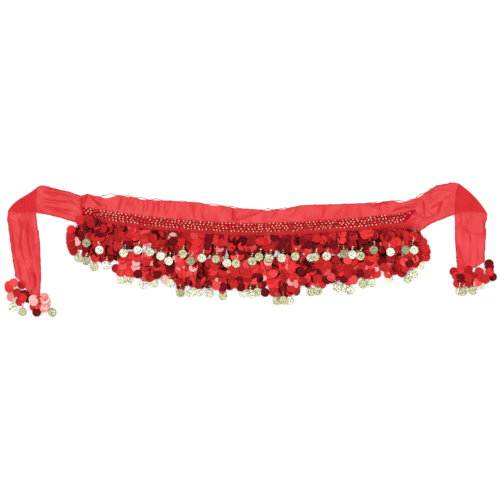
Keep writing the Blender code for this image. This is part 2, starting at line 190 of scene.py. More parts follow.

# Creases, each a bent line through three points. dark is how dark it is: partly a second layer folded in,
# partly painted shade.
Crease = namedtuple("Crease", "x1 y1 x2 y2 x3 y3 width height dark")
BODY_CREASES = table(
    Crease, 8,
    (-400, 135, -386, 122, -371, 108, 3, 1.6, 0.55), (-405, 139, -412, 128, -420, 112, 2.6, 1.2, 0.50),
    (-423, 132, -421, 118, -424, 100, 4, 1.4, 0.45), (-433, 122, -424, 126, -414, 130, 2.2, 0.8, 0.30),
    (-322, 134, -325, 118, -331, 98, 5, 1.5, 0.30), (-268, 124, -266, 110, -270, 94, 2.8, 0.9, 0.26),
    (-256, 124, -257, 109, -260, 92, 2.2, 0.7, 0.22), (-243, 123, -241, 106, -246, 90, 3, 1, 0.28),
    (-226, 121, -228, 106, -229, 88, 2.6, 0.8, 0.20), (-192, 120, -189, 104, -193, 86, 2.4, 0.8, 0.14),
    (-142, 117, -141, 100, -141, 78, 2.2, 1.2, 0.34), (-116, 113, -119, 96, -116, 76, 4, 1, 0.14),
    (-45, 106, -43, 92, -43, 72, 2.2, 1.3, 0.40), (-36, 73, -10, 82, 38, 99, 2.4, 1.5, 0.40),
    (-48, 70, -14, 87, 12, 99, 2.2, 1.1, 0.24), (68, 99, 61, 88, 50, 78, 2.8, 0.9, 0.20),
    (118, 106, 113, 94, 100, 80, 3.4, 1.1, 0.14), (183, 111, 185, 98, 181, 82, 3, 0.9, 0.16),
    (232, 113, 226, 100, 212, 86, 3, 0.9, 0.14), (300, 104, 318, 113, 349, 118, 2.6, 1.2, 0.36),
    (330, 100, 310, 108, 296, 116, 2.4, 0.9, 0.22), (352, 94, 378, 105, 415, 107, 3.4, 1.3, 0.42),
    (397, 110, 410, 114, 425, 110, 2.2, 0.8, 0.26), (386, 87, 405, 91, 425, 82, 2.4, 1, 0.30),
    (396, 106, 409, 96, 424, 89, 2.4, 1, 0.36), (402, 72, 412, 78, 424, 83, 2, 0.8, 0.24),
)
LEFT_RUN_CREASES = table(
    Crease, 8,
    (-533, 146, -480, 142, -434, 128, 2.2, 1.2, 0.42), (-536, 150, -500, 152, -462, 145, 2, 0.8, 0.26),
    (-534, 133, -486, 123, -440, 120, 2.2, 1.3, 0.44), (-530, 124, -498, 118, -466, 117, 1.8, 0.7, 0.26),
    (-524, 110, -480, 104, -438, 97, 2.6, 1.3, 0.40), (-510, 100, -474, 96, -444, 86, 2, 0.9, 0.28),
    (-470, 134, -450, 126, -436, 112, 2.2, 0.9, 0.30), (-512, 140, -490, 137, -470, 137, 1.6, 0.5, 0.20),
)
LEFT_DROP_CREASES = table(
    Crease, 8,
    (-598, 78, -592, 20, -586, -30, 3, 1.4, 0.34), (-583, 86, -572, 46, -580, -4, 2.4, 1.3, 0.40),
    (-566, 74, -574, 20, -561, -36, 2.8, 1.4, 0.40), (-551, 88, -556, 30, -542, -32, 3, 1.6, 0.44),
    (-541, 62, -540, 10, -532, -40, 2.2, 0.9, 0.28), (-545, -56, -537, -72, -540, -100, 3.6, 1.6, 0.60),
    (-560, -44, -552, -66, -550, -90, 2.2, 0.9, 0.34), (-583, -18, -578, -46, -572, -74, 2.4, 1, 0.30),
    (-600, 88, -570, 94, -546, 92, 1.8, 0.6, 0.20), (-575, 70, -562, 50, -553, 26, 2, 0.8, 0.22),
    (-549, 150, -551, 100, -548, 30, 9, 0.8, 0.11), (-563, 132, -562, 90, -557, 24, 2.2, 0.8, 0.20),
    (-592, 104, -572, 118, -556, 138, 3, 0.5, 0.08),
)
RIGHT_RUN_CREASES = table(
    Crease, 8,
    (428.5, 129, 434.5, 111, 436.5, 79, 2.4, 1.4, 0.55), (483.5, 125, 474.5, 108, 469, 86, 2.4, 1.4, 0.55),
    (447, 103, 466, 112, 482.5, 124, 2.6, 1.2, 0.42), (482.5, 124, 498, 134, 516, 136, 2.2, 1, 0.36),
    (426, 87, 436, 81, 468, 83, 2.2, 1, 0.36), (436, 96, 430, 90, 426, 82, 2, 0.8, 0.26),
    (440, 136, 462, 148, 496, 152, 2, 0.8, 0.22), (440, 104, 452, 92, 466, 86, 2, 0.8, 0.26),
    (490, 112, 506, 118, 516, 116, 1.8, 0.7, 0.22), (456, 150, 452, 136, 440, 118, 2, 0.8, 0.20),
)
RIGHT_DROP_CREASES = table(
    Crease, 8,
    (521, 100, 528, 76, 519, 50, 2.2, 0.9, 0.28), (535, 96, 541, 76, 548, 66, 2, 0.8, 0.18),
    (531, 56, 548, 40, 552, 8, 2.4, 1.3, 0.40), (588, 68, 579, 40, 550, 46, 1.8, 0.7, 0.22),
    (552, 8, 551, -18, 549, -40, 2, 0.9, 0.26), (519, 14, 528, -14, 536, -40, 3, 1.3, 0.36),
    (568, 10, 570, -12, 566, -34, 2, 0.8, 0.18), (582, 30, 586, 52, 582, 76, 3, 1, 0.30),
    (534, 124, 548, 134, 564, 134, 2.4, 0.8, 0.10), (526, 112, 544, 116, 556, 110, 2, 0.8, 0.10),
    (524, 156, 521, 120, 517, 84, 9, 0.6, 0.09),
)

# How dark creases are, which is partly a second layer and partly painted shade, and how far their darkness
# and their height reach, in widths
CREASE_DARK = 3.0
CREASE_SPREAD = 1.15
CREASE_FOOT = 2.6

# Where the thread along the upper edge stands off the cloth
LiftOff = namedtuple("LiftOff", "start end gap")
LIFT_OFFS = table(
    LiftOff, 3,
    (-374, -333, 9.2), (-314, -300, 3.2), (-286, -258, 5), (-247, -222, 3.6), (-180, -160, 2.2),
    (-106, -76, 4), (-52, -30, 3.4), (34, 56, 4.4), (70, 94, 3), (300, 316, 2), (362, 388, 4.4),
    (392, 408, 2.4), (414, 437, 4.8), (446, 456, 2),
)

# Gold beads caught in the edging
EDGE_BEADS = table(
    EdgePoint, 2,
    (-304, 137.5), (-296, 136.2), (-221, 126.2), (-99, 116), (-50, 110), (44, 104), (88.5, 106),
    (299, 118.2), (348, 122.6), (402, 126.2), (418, 133.5), (454, 154.5), (-525.5, 20), (-528, 48),
    (-523.2, -28), (-523.8, -52), (-592.5, -20), (512.2, 56), (512.5, 42), (516.8, -24),
)

# Rows of seed beads, from the top: how far above the middle of the band, where the thread starts and ends,
# and its first bead, in pitches from the start of the top row
BeadRow = namedtuple("BeadRow", "offset start end first")
BEAD_ROWS = table(
    BeadRow, 3,
    (8.8, -418.5, 401, 1), (2.8, -416, 397, 0.62), (-3.2, -412.5, 390, 1.10), (-9.2, -408.5, 383, 1.46),
)

# Where each coin lies, how far its strand swings to the right and, in the upper tier, its tone: one row for
# each strand, from the left
Hang = namedtuple("Hang", "x y bow tone", defaults=(0, ""))
LOWER_COINS = table(
    Hang, 3,
    (-428.8, -20, -22), (-410, -27.5, -8), (-390, -42.5, -4), (-360, -37.5), (-322.5, -75, 2),
    (-302.5, -77.5, -1), (-267.5, -87.5), (-240, -85, 2), (-200, -82.5, -1), (-173.8, -107.5),
    (-147.5, -107.5, 1), (-127.5, -105, 2), (-101.3, -110), (-67.5, -115), (-17.5, -108.8, -3),
    (2.5, -108.8), (17.5, -105, 2), (67.5, -127.5, -2), (83.5, -125), (98.8, -126.3, 3), (152.5, -105, -2),
    (170, -102.5), (217.5, -95, -3), (237.5, -95, -1), (250, -102.5, 2), (282.5, -85), (305, -82.5, 2),
    (347.5, -72.5), (395, -72.5, -4), (408.8, -60, 4), (427.5, -38.8, 12),
)
UPPER_COINS = table(
    Hang, 3,
    (-407.5, 17.5, -6, "dull"), (-375, 0, -3, "white"), (-340, 10, 0, "gold"), (-329, 4, 0, "gold"),
    (-315, -7.5, 0, "pale"), (-280, 0, 1, "white"), (-250, -5, 0, "pale"), (-222.5, -15, 0, "pale"),
    (-202.5, -27.5, 0, "white"), (-167.5, -10, 0, "gold"), (-147.5, -27.5, 0, "dull"),
    (-120, -20, 0, "pale"), (-85, -22.5, 0, "gold"), (-57.5, -32.5, 0, "pale"), (-35, -33.8, 0, "gold"),
    (5, -28.5, 0, "gold"), (22.5, -17.5, 0, "gold"), (47.5, -20, 0, "gold"), (78.8, -20, 0, "pale"),
    (112.5, -16.3, 0, "gold"), (151.3, -19, 0, "white"), (162.5, -17.5, 1, "gold"), (191.3, -15, 0, "pale"),
    (235, -10, 0, "dull"), (255, -11.5, 0, "white"), (275, -15, 0, "gold"), (308, 0, 0, "dull"),
    (350, -5, 0, "white"), (387.5, 0, 3, "dull"), (408.8, 0, 7, "pale"),
)

# Colours in linear light, and the weights of the golds on the band and of the tones of the lower coins
CHIFFON = (0.845, 0.0320, 0.0390)
# The next two chiffon colours, for second layers and for creases, are partly painted shade.
CHIFFON_LAYERED_SHADED = (0.640, 0.0185, 0.0250)
CHIFFON_CREASE_SHADED = (0.420, 0.0080, 0.0130)
BAND_CLOTH = (0.530, 0.0030, 0.0160)
BAND_SHADE = (0.280, 0.0020, 0.0080)
THREAD = (0.620, 0.0120, 0.0280)
THREAD_SHADE = (0.360, 0.0040, 0.0120)
GOLDS = {
    "bright": (0.820, 0.980, 0.580),
    "plain": (0.580, 0.660, 0.350),
    "dull": (0.300, 0.240, 0.110),
    "olive": (0.450, 0.420, 0.160),
}
BAND_GOLDS = (50, 20, 24, 6)
# The paillettes are all one red foil: their tones are painted reflections, lighter or darker as if a disc
# faced the lights or turned away from them; salmon, pink and pale are painted highlights.
TONES = {
    "bright": (0.540, 0.0220, 0.0230),
    "red": (0.400, 0.0120, 0.0135),
    "deep": (0.280, 0.0065, 0.0082),
    "maroon": (0.098, 0.0022, 0.0034),
    "salmon": (0.560, 0.0450, 0.0470),
    "pink": (0.600, 0.1500, 0.1450),
    "pale": (0.620, 0.2900, 0.2700),
}
REDS = ("bright", "red", "deep", "maroon")
COIN_TONES = {
    "pale": (0.760, 0.755, 0.575),
    "gold": (0.570, 0.560, 0.345),
    "dull": (0.340, 0.335, 0.205),
    "white": (0.820, 0.820, 0.720),
}
LOWER_COIN_TONES = (60, 28, 0, 12)
COIN_TARNISH = (0.17, 0.18, 0.11)

# How runs of neighbouring paillettes lie: how often, how many, their tilt in degrees and whether it is
# sideways, and the weight of each of the four red tones, which are painted reflection and shade
Mood = namedtuple("Mood", "often least most tilt_least tilt_most sideways tones")
MOODS = table(
    Mood, 0,
    (42, 1, 4, 0, 8, False, (34, 42, 16, 8)), (26, 1, 3, 25, 38, True, (44, 32, 10, 14)),
    (32, 1, 2, 6, 26, False, (34, 38, 14, 14)),
)
UPPER_MOODS = table(
    Mood, 0,
    (46, 1, 4, 0, 7, False, (10, 34, 36, 20)), (34, 1, 3, 25, 38, True, (12, 24, 30, 34)),
    (20, 1, 2, 6, 22, False, (10, 26, 32, 32)),
)
END_MOODS = table(
    Mood, 0,
    (50, 1, 3, 0, 8, False, (0, 22, 48, 30)), (32, 1, 3, 25, 38, True, (4, 24, 40, 32)),
    (18, 1, 2, 6, 22, False, (2, 18, 40, 40)),
)

# How often a paillette that lies flat gets a painted highlight, and the tones that it may then have
ACCENTS = (0.22, "salmon", "salmon", "pink", "pale")
UPPER_ACCENTS = (0.09, "salmon", "salmon", "salmon", "pink", "pale")

# Paillettes that lie at a place of their own, from the lowest up: place, tone, tilt in degrees and its
# bearing. Those of the front tables take the place of the nearest one of a column.
Disc = namedtuple("Disc", "x y tone tilt bearing")
FIRST_STACK = table(
    Disc, 2,
    (-428, 12, "deep", 10, 180), (-430, 30, "red", 12, 180), (-431, 47, "pink", 6, 200),
    (-441.5, -3, "deep", 4, 0), (-444, 4, "deep", 2, 90), (-446, 11.5, "deep", 3, 10),
    (-447.5, 20, "deep", 2, 200), (-448, 29, "deep", 3, 40), (-447.5, 38.5, "deep", 2, 0),
    (-446, 51, "red", 3, 90),
)
LAST_STACK = table(
    Disc, 2,
    (428, -12, "deep", 8, 250), (420, -22, "deep", 6, 200), (438.5, -17.5, "red", 5, 20),
    (439.5, -4, "deep", 8, 30), (437, 5, "red", 4, 90), (431, 20, "red", 3, 0), (420, 30, "deep", 8, 30),
    (408, 36, "red", 5, 120),
)
# The deep paillette at 350, -19 is a dark disc put where there is only shade.
LOW_DISCS = table(
    Disc, 2,
    (-335, -46, "deep", 8, 200), (-202, -55, "maroon", 8, 300), (-197.5, -75, "red", 8, 240),
    (30, -86, "maroon", 8, 240), (37.5, -106, "maroon", 8, 200), (132, -90, "red", 8, 260),
    (192, -75, "maroon", 8, 280), (360, -52, "deep", 8, 260), (-386, -20, "red", 6, 0),
    (144, -46, "maroon", 8, 90), (330, -30, "maroon", 8, 90), (334, -43, "red", 8, 260),
    (-40, -84, "red", 8, 250), (350, -19, "deep", 8, 250),
)
LOWER_FRONT = table(
    Disc, 2,
    (-280, -60, "maroon", 6, 200), (-250, -69, "deep", 6, 240), (-232, -62, "maroon", 8, 300),
    (-211, -73, "pale", 6, 240), (-169, -60, "bright", 6, 60), (-175, -80, "deep", 6, 250),
    (-145, -73, "maroon", 30, 180), (-105, -85, "maroon", 6, 270), (-85, -89, "salmon", 6, 240),
    (-67, -92, "maroon", 8, 300), (-23, -93, "maroon", 6, 250), (5, -94, "maroon", 6, 260),
    (23, -69, "maroon", 30, 0), (58, -58, "salmon", 8, 200), (81, -100, "maroon", 8, 280),
    (128, -53, "maroon", 6, 200), (131, -78, "deep", 6, 270), (117, -84, "pink", 24, 180),
    (148, -33, "maroon", 6, 240), (203, -68, "salmon", 8, 240), (233, -72, "maroon", 6, 280),
    (258, -75, "salmon", 6, 240), (275, -58, "maroon", 30, 0), (367, -43, "deep", 6, 260),
    (385, -30, "salmon", 8, 180), (398, -33, "maroon", 8, 300), (410, -22, "salmon", 20, 0),
)
UPPER_FRONT = table(
    Disc, 2,
    (-305, 12.5, "maroon", 6, 200), (-265, 27, "red", 6, 240), (-235, 34, "maroon", 30, 0),
    (-201, 14, "maroon", 30, 180), (-173, 20, "red", 6, 260), (-130, 20, "red", 6, 250),
    (-105, 10, "maroon", 6, 30), (-65.5, 20, "red", 6, 240), (-39, 12, "maroon", 30, 0),
    (25, 22, "red", 6, 240), (77, 5, "maroon", 6, 250), (120, 22, "maroon", 30, 180),
    (148, 14, "maroon", 8, 240), (167, 29, "red", 6, 260), (187, 12, "maroon", 30, 0),
    (205, 31, "red", 6, 250), (210, 14, "maroon", 8, 200), (238, 22, "maroon", 32, 0),
    (286, 37.5, "bright", 5, 250), (322, 31, "maroon", 30, 180),
)
HEM_DISCS = table(
    Disc, 2,
    (-54, 28, "maroon", 8, 200), (-351, 22, "deep", 8, 200), (-190, 9, "deep", 8, 250),
    (334, 33, "deep", 8, 250), (372, 3, "deep", 8, 250), (52, 5, "deep", 8, 250),
)
ON_CLOTH = table(
    Disc, 2,
    (-407, 63, "maroon", 8, 200), (-424.3, 72.8, "red", 4, 90), (-384, 62, "red", 10, 30),
    (-400, 75.5, "deep", 14, 10), (-391, 72.5, "maroon", 12, 20), (-396, 66, "deep", 6, 170),
    (-382, 68, "maroon", 18, 350), (-350, -12, "maroon", 8, 200), (-336, -4, "maroon", 12, 20),
    (-345, -1, "deep", 10, 90), (-332, 0, "maroon", 6, 180), (-330, 8, "red", 8, 120),
    (-366, 54, "deep", 14, 30), (-372, 44, "maroon", 16, 200),
)
LEFT_UNDER = table(
    Disc, 2,
    (-571, -87, "deep", 6, 140), (-540, -142, "red", 8, 80), (-531, -120, "pale", 5, 200),
    (-529, -137, "salmon", 5, 90), (-526, -126, "red", 5, 90),
)
LEFT_TIE_DISCS = table(
    Disc, 2,
    (-597, -117, "pink", 6, 200), (-602, -96, "bright", 5, 160), (-602.5, -88, "bright", 4, 220),
    (-591, -82, "salmon", 6, 60), (-555, -121, "maroon", 6, 330), (-574, -111, "maroon", 8, 40),
    (-542, -123, "pale", 8, 240), (-540, -129, "pale", 6, 250), (-514, -145, "pink", 8, 310),
    (-511, -138.5, "pale", 6, 305), (-510, -131, "pink", 8, 300), (-512, -124, "pale", 6, 300),
    (-515, -117.5, "pink", 8, 290), (-583, -107, "deep", 6, 30), (-562, -111, "maroon", 18, 20),
    (-576, -129, "deep", 6, 30), (-567, -119, "red", 6, 330), (-533, -155.5, "maroon", 5, 20),
)
RIGHT_TIE_DISCS = table(
    Disc, 2,
    (519, -84, "red", 6, 200), (532, -83, "deep", 6, 180), (549, -84, "deep", 6, 200),
    (606, -67, "maroon", 10, 280), (510, -54, "deep", 4, 250), (516, -65, "red", 4, 200),
    (557, -66, "deep", 6, 350), (541, -58, "red", 4, 30), (528, -47, "bright", 4, 90),
    (569, -80, "salmon", 6, 160), (546, -50, "deep", 6, 30), (526, -70, "maroon", 10, 60),
    (573, -54, "red", 4, 110), (545, -69.5, "red", 5, 300), (578, -68, "red", 6, 40),
    (588, -73, "red", 5, 320), (599, -42, "maroon", 6, 340), (599, -55, "red", 6, 130),
    (598, -34, "maroon", 6, 320),
)
LEFT_TIE_COINS = table(Hang, 3, (-592.5, -142), (-569, -154.5), (-533, -155), (-494.5, -156))
RIGHT_TIE_COINS = table(Hang, 3, (525, -103.5), (533, -103.5), (557.5, -101), (579.5, -88.5))
LEFT_TIE_ROOTS = ((-0.5850, -0.0690), (-0.5660, -0.0840), (-0.5475, -0.0990), (-0.5300, -0.1130))
RIGHT_TIE_ROOTS = ((0.5200, -0.0450), (0.5430, -0.0395), (0.5650, -0.0340), (0.5855, -0.0285))

# A tier of the fringe. bare is the least and most bare thread below a root, end_gap the room between a coin
# and the paillettes, and buried the chance of each coin to lie below them all, which in the upper tier is
# certain for two. discs are tables of single paillettes, each with where in the pile it starts.
BURIED_COINS = (2, 3)
Tier = namedtuple("Tier", "name is_lower first_root coins bare end_gap buried moods accents discs front")
LOWER_TIER = Tier(
    "lower_paillettes", True, FIRST_ROOT, LOWER_COINS, (0.057, 0.075), (0.015, 0.024),
    [0.6] * len(LOWER_COINS), MOODS, ACCENTS,
    ((FIRST_STACK, 0.03), (LAST_STACK, 0.03), (LOW_DISCS, 0.01)), LOWER_FRONT,
)
UPPER_TIER = Tier(
    "upper_paillettes", False, FIRST_ROOT + STRAND_PITCH / 2, UPPER_COINS, (-0.010, -0.005), (0.012, 0.018),
    [i in BURIED_COINS for i in range(len(UPPER_COINS))], UPPER_MOODS, UPPER_ACCENTS,
    ((HEM_DISCS, 0.03),), UPPER_FRONT,
)

# The end of a tie. buried is the coin that lies below the paillettes, and rows and side are those of the
# tie's drop.
TieEnd = namedtuple("TieEnd", "name roots coins buried under over rows side")
LEFT_END = TieEnd(
    "left_tie_paillettes", LEFT_TIE_ROOTS, LEFT_TIE_COINS, 2, LEFT_UNDER, LEFT_TIE_DISCS, LEFT_DROP, -1
)
RIGHT_END = TieEnd(
    "right_tie_paillettes", RIGHT_TIE_ROOTS, RIGHT_TIE_COINS, 3, (), RIGHT_TIE_DISCS, RIGHT_DROP, 1
)

# A strand, and a paillette before it is laid, whose order says how high in the pile it is
Strand = namedtuple("Strand", "root coin bow tone")
Hung = namedtuple("Hung", "order place lean tone down")


def through(rows, key, column, at):
    """A table's column at an array of keys, on a smooth curve through the rows."""
    keys = np.array([getattr(row, key) for row in rows])
    values = np.array([getattr(row, column) for row in rows])
    before = np.maximum(np.arange(len(rows)) - 1, 0)
    after = np.minimum(np.arange(len(rows)) + 1, len(rows) - 1)
    slopes = (values[after] - values[before]) / (keys[after] - keys[before])
    at = np.asarray(at, float)
    i = np.clip(np.searchsorted(keys, at, side="right") - 1, 0, len(rows) - 2)
    span = keys[i + 1] - keys[i]
    t = (at - keys[i]) / span
    rise = values[i + 1] - values[i]
    start, end = slopes[i] * span, slopes[i + 1] * span
    return values[i] + t * (start + t * (3 * rise - 2 * start - end + t * (start + end - 2 * rise)))


def ease(t):
    t = np.clip(t, 0.0, 1.0)
    return t * t * (3 - 2 * t)


def ripple(x, y, seed, length):
    """Soft waves of about one length in every direction, from -1 to 1."""
    waves = random.Random(seed)
    total = np.zeros_like(x)
    for _ in range(7):
        turn, phase = waves.uniform(0, math.pi), waves.uniform(0, TURN)
        pace = TURN / (length * waves.uniform(0.6, 1.7))
        total += np.sin(pace * (x * math.cos(turn) + y * math.sin(turn)) + phase)
    return total / 7


def bent(first, middle, last, t):
    """A smooth curve through three numbers, which it meets at t = 0, 1/2 and 1."""
    return (1 - t) ** 2 * first + 2 * t * (1 - t) * (2 * middle - (first + last) / 2) + t**2 * last


def crease_field(creases, x, y):
    """Height and darkness that the creases give to points of the cloth. The darkness is partly a second
    layer and partly painted shade.
    """
    height, dark = np.zeros_like(x), np.zeros_like(x)
    steps = np.linspace(0, 1, 15)
    for c in creases:
        line_x, line_y = bent(c.x1, c.x2, c.x3, steps), bent(c.y1, c.y2, c.y3, steps)
        nearest, place = np.full_like(x, 1.0), np.zeros_like(x)
        for i, (dx, dy) in enumerate(zip(np.diff(line_x), np.diff(line_y))):
            share = np.clip(((x - line_x[i]) * dx + (y - line_y[i]) * dy) / (dx * dx + dy * dy), 0, 1)
            away = np.hypot(x - line_x[i] - share * dx, y - line_y[i] - share * dy)
            closer = away < nearest
            nearest = np.where(closer, away, nearest)
            place = np.where(closer, (i + share) / (len(steps) - 1), place)
        fade = np.clip(np.sin(np.pi * np.clip(place, 0.04, 0.96)) * 1.6, 0, 1)
        height = np.maximum(height, c.height * fade * ease(1 - nearest / (CREASE_FOOT * c.width)))
        shade = CREASE_DARK * c.dark * fade * ease(1 - nearest / (CREASE_SPREAD * c.width))
        dark = np.maximum(dark, shade)
    return height, dark


def principled(name, colour, roughness, metallic=0.0):
    made = bpy.data.materials.new(name)
    made.use_nodes = True
    tree, shader = made.node_tree, made.node_tree.nodes["Principled BSDF"]
    fill(tree, shader, {"Base Color": (*colour, 1.0), "Roughness": roughness, "Metallic": metallic})
    return made, tree, shader


def add_object(name, data):
    made = bpy.data.objects.new(name, data)
    bpy.context.scene.collection.objects.link(made)
    return made


def add_mesh(name, points, faces, material):
    mesh = bpy.data.meshes.new(name)
    mesh.from_pydata([tuple(p) for p in points], [], [tuple(f) for f in faces])
    mesh.materials.append(material)
    mesh.shade_smooth()
    return add_object(name, mesh)


def belongs(piece, slot, *nodes):
    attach(piece, "root")
    if nodes:
        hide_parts(*nodes)


def set_attribute(mesh, name, values, kind="FLOAT", field="value"):
    attribute = mesh.attributes.new(name, kind, "POINT")
    attribute.data.foreach_set(field, np.asarray(values, np.float32).ravel())


# Materials


def fill(tree, node, inputs):
    """Gives a node its inputs, each of them a value or the output of another node."""
    for name, value in inputs.items():
        if isinstance(value, bpy.types.NodeSocket):
            tree.links.new(value, node.inputs[name])
        else:
            node.inputs[name].default_value = value


def add_node(tree, kind, inputs, output=0, **settings):
    made = tree.nodes.new("ShaderNode" + kind)
    for name, value in settings.items():
        setattr(made, name, value)
    fill(tree, made, inputs)
    return made.outputs[output]


def noise(tree, scale, detail=2.0, stretch=(1, 1, 1), place=None):
    place = place or add_node(tree, "TexCoord", {}, "Object")
    place = add_node(tree, "Mapping", {"Vector": place, "Scale": stretch})
    return add_node(tree, "TexNoise", {"Vector": place, "Scale": scale, "Detail": detail})


def ramp(tree, value, low, high, to_low=0.0, to_high=1.0):
    ends = {"From Min": low, "From Max": high, "To Min": to_low, "To Max": to_high}
    return add_node(tree, "MapRange", {"Value": value, **ends})


def add_up(tree, first, second, clamp=True):
    return add_node(tree, "Math", {0: first, 1: second}, operation="ADD", use_clamp=clamp)


def mix(tree, share, first, second, blend="MIX"):
    """Two colours mixed, each of them three numbers or the output of another node."""
    first, second = ((*c, 1.0) if isinstance(c, tuple) else c for c in (first, second))
    inputs = {"Factor": share, "A": first, "B": second}
    return add_node(tree, "Mix", inputs, "Result", data_type="RGBA", blend_type=blend)


def attribute(tree, name, output="Fac"):
    return add_node(tree, "Attribute", {}, output, attribute_name=name)


def bump(tree, height, strength, distance):
    return add_node(tree, "Bump", {"Height": height, "Strength": strength, "Distance": distance})


def chiffon(name, grain=None):
    """Sheer cloth: more of it shows where it lies in two layers, and it is darkest in creases; this
    darkening is partly the second layer and partly painted shade. Its fine lines, painted shade along small
    wrinkles that are also bumped, are stretched by grain, or run along the sheet."""
    made, tree, shader = principled(name, CHIFFON, 0.72)
    cloudy = ramp(tree, noise(tree, 26.0), 0.45, 0.75, 0.0, 0.30)
    place = None if grain else attribute(tree, "weave_place", "Vector")
    lines = ramp(tree, noise(tree, 60.0, 4.0, grain or (1, 1, 1), place), 0.50, 0.75, 0.0, 0.55)
    # The share of the darker colours: second layers and painted shade from the mesh, a random cloudiness,
    # and painted shade along the fine lines.
    share = add_up(tree, add_up(tree, attribute(tree, "doubled"), cloudy, False), lines, False)
    colour = mix(tree, ramp(tree, share, 0.0, 1.0), CHIFFON, CHIFFON_LAYERED_SHADED)
    sheer = ramp(tree, attribute(tree, "sheer"), 0.0, 1.0, 0.0, -0.42)
    looks = {
        "Base Color": mix(tree, ramp(tree, share, 0.9, 2.2), colour, CHIFFON_CREASE_SHADED),
        "Alpha": add_up(tree, ramp(tree, share, 0.0, 1.0, 0.54, 0.82), sheer),
        "Sheen Weight": 0.15,
        "Sheen Roughness": 0.4,
        "Specular IOR Level": 0.15,
        "Normal": bump(tree, add_up(tree, noise(tree, 1500.0, 1.0), lines, False), 0.35, 0.0006),
    }
    fill(tree, shader, looks)
    return made


def band_material():
    """Dense cloth with a frayed border."""
    made, tree, shader = principled("band_cloth", BAND_CLOTH, 0.95)
    frayed = ramp(tree, noise(tree, 420.0), 0.3, 0.7, -0.9, 0.1)
    looks = {
        "Base Color": mix(tree, ramp(tree, noise(tree, 300.0, 3.0), 0.35, 0.65), BAND_CLOTH, BAND_SHADE),
        "Alpha": ramp(tree, add_up(tree, attribute(tree, "border"), frayed), 0.0, 0.25, 1.0, 0.0),
        "Specular IOR Level": 0.02,
        "Normal": bump(tree, noise(tree, 520.0), 0.8, 0.0010),
    }
    fill(tree, shader, looks)
    return made


def thread_material():
    made, tree, shader = principled("red_thread", THREAD, 0.55)
    looks = {
        "Base Color": mix(tree, ramp(tree, noise(tree, 400.0), 0.35, 0.65), THREAD, THREAD_SHADE),
        "Normal": bump(tree, noise(tree, 1400.0, 1.0), 0.5, 0.0004),
    }
    fill(tree, shader, looks)
    return made


def toned_material(name, roughest, metallic, **looks):
    """Foil or plate, lighter or darker from piece to piece. On the foil these tones are painted reflections
    and highlights.
    """
    made, tree, shader = principled(name, TONES["red"], roughest, metallic)
    worn = ramp(tree, noise(tree, 150.0), 0.3, 0.7, 0.5 * roughest, roughest)
    fill(tree, shader, {"Base Color": attribute(tree, "tone", "Color"), "Roughness": worn, **looks})
    return made


def coin_material():
    """Stamped gold plate, lighter or darker from coin to coin, with a fine grain."""
    made, tree, shader = principled("coin_metal", COIN_TONES["gold"], 0.24, 1.0)
    grain = noise(tree, 420.0)
    worn = mix(tree, ramp(tree, grain, 0.44, 0.62), (1.0, 1.0, 1.0), COIN_TARNISH)
    looks = {
        "Base Color": mix(tree, 1.0, attribute(tree, "tone", "Color"), worn, "MULTIPLY"),
        "Roughness": ramp(tree, grain, 0.35, 0.65, 0.22, 0.40),
        "Normal": bump(tree, noise(tree, 300.0), 0.8, 0.0014),
    }
    fill(tree, shader, looks)
    return made


# Cloth


def skin(lines, columns, around=False, round_again=False):
    """Faces over a grid of points, line by line. It may close around its columns, and its lines."""
    grid = np.arange(lines * columns).reshape(lines, columns)
    grid = np.column_stack([grid, grid[:, 0]]) if around else grid
    grid = np.vstack([grid, grid[:1]]) if round_again else grid
    corners = [grid[:-1, :-1], grid[:-1, 1:], grid[1:, 1:], grid[1:, :-1]]
    return np.stack(corners, axis=-1).reshape(-1, 4).tolist()


def spaced(start, end):
    """Places along a sheet, about a cell apart."""
    return np.linspace(start, end, round((end - start) / CELL) + 1)


def cloth(name, x, y, z, material, weave_place=None, **shares):
    """A thin shell over a grid of points, line by line. The shares are kept for the material."""
    made = add_mesh(name, np.stack([x, y, z], axis=2).reshape(-1, 3), skin(*x.shape), material)
    for share, values in shares.items():
        set_attribute(made.data, share, values)
    if weave_place is not None:
        set_attribute(made.data, "weave_place", weave_place, "FLOAT_VECTOR", "vector")
    shell = made.modifiers.new("shell", "SOLIDIFY")
    shell.thickness = CLOTH
    shell.offset = 0.0
    return made


def edge_dark(across, width):
    """The rolled hems along the edges are two layers thick."""
    return np.maximum(ease(1 - across / width), ease(1 - (1 - across) / width))


def hem_height(x, y):
    """How high the body cloth lies over the roots of the fringe, apart from its creases."""
    from_hem = y - through(BODY, "x", "hem", x)
    from_seams = np.minimum(x - BODY[0].x, BODY[-1].x - x)
    return LOW_CLOTH + HEM_UP * ease(1 - from_hem / HEM_REACH) * ease(from_seams / 0.012)


def body_height(x, y):
    """The middle of the body cloth's wall at a place on it."""
    raised, _ = crease_field(BODY_CREASES, x, y)
    wavy = WAVE * (1 + ripple(x, y, 3, 0.055)) * ease((y - through(TOP_EDGE, "x", "y", x) + 0.09) / 0.03)
    return hem_height(x, y) + raised + wavy


def make_body():
    stations, across = spaced(BODY[0].x, BODY[-1].x), np.linspace(0, 1, 42)
    top = through(TOP_EDGE, "x", "y", stations)[:, None]
    hem = (through(BODY, "x", "hem", stations) + 0.0020 * ripple(stations, stations, 21, 0.022))[:, None]
    x = np.repeat(stations[:, None], len(across), axis=1)
    y = top + (hem - top) * across
    _, dark = crease_field(BODY_CREASES, x, y)
    # Darker in creases, along the top edge and towards the hem: partly second layers of cloth, partly
    # painted shade.
    dark = np.clip(dark + 0.6 * ease(1 - across / 0.03) + 0.9 * ease(1 - (y - hem) / 0.020), 0, 2)
    sheer = ease(1.35 - (y - hem) / 0.008)
    looks = chiffon("body_chiffon", (1.0, 0.35, 1.0))
    return cloth("body_cloth", x, y, body_height(x, y), looks, doubled=dark, sheer=sheer)


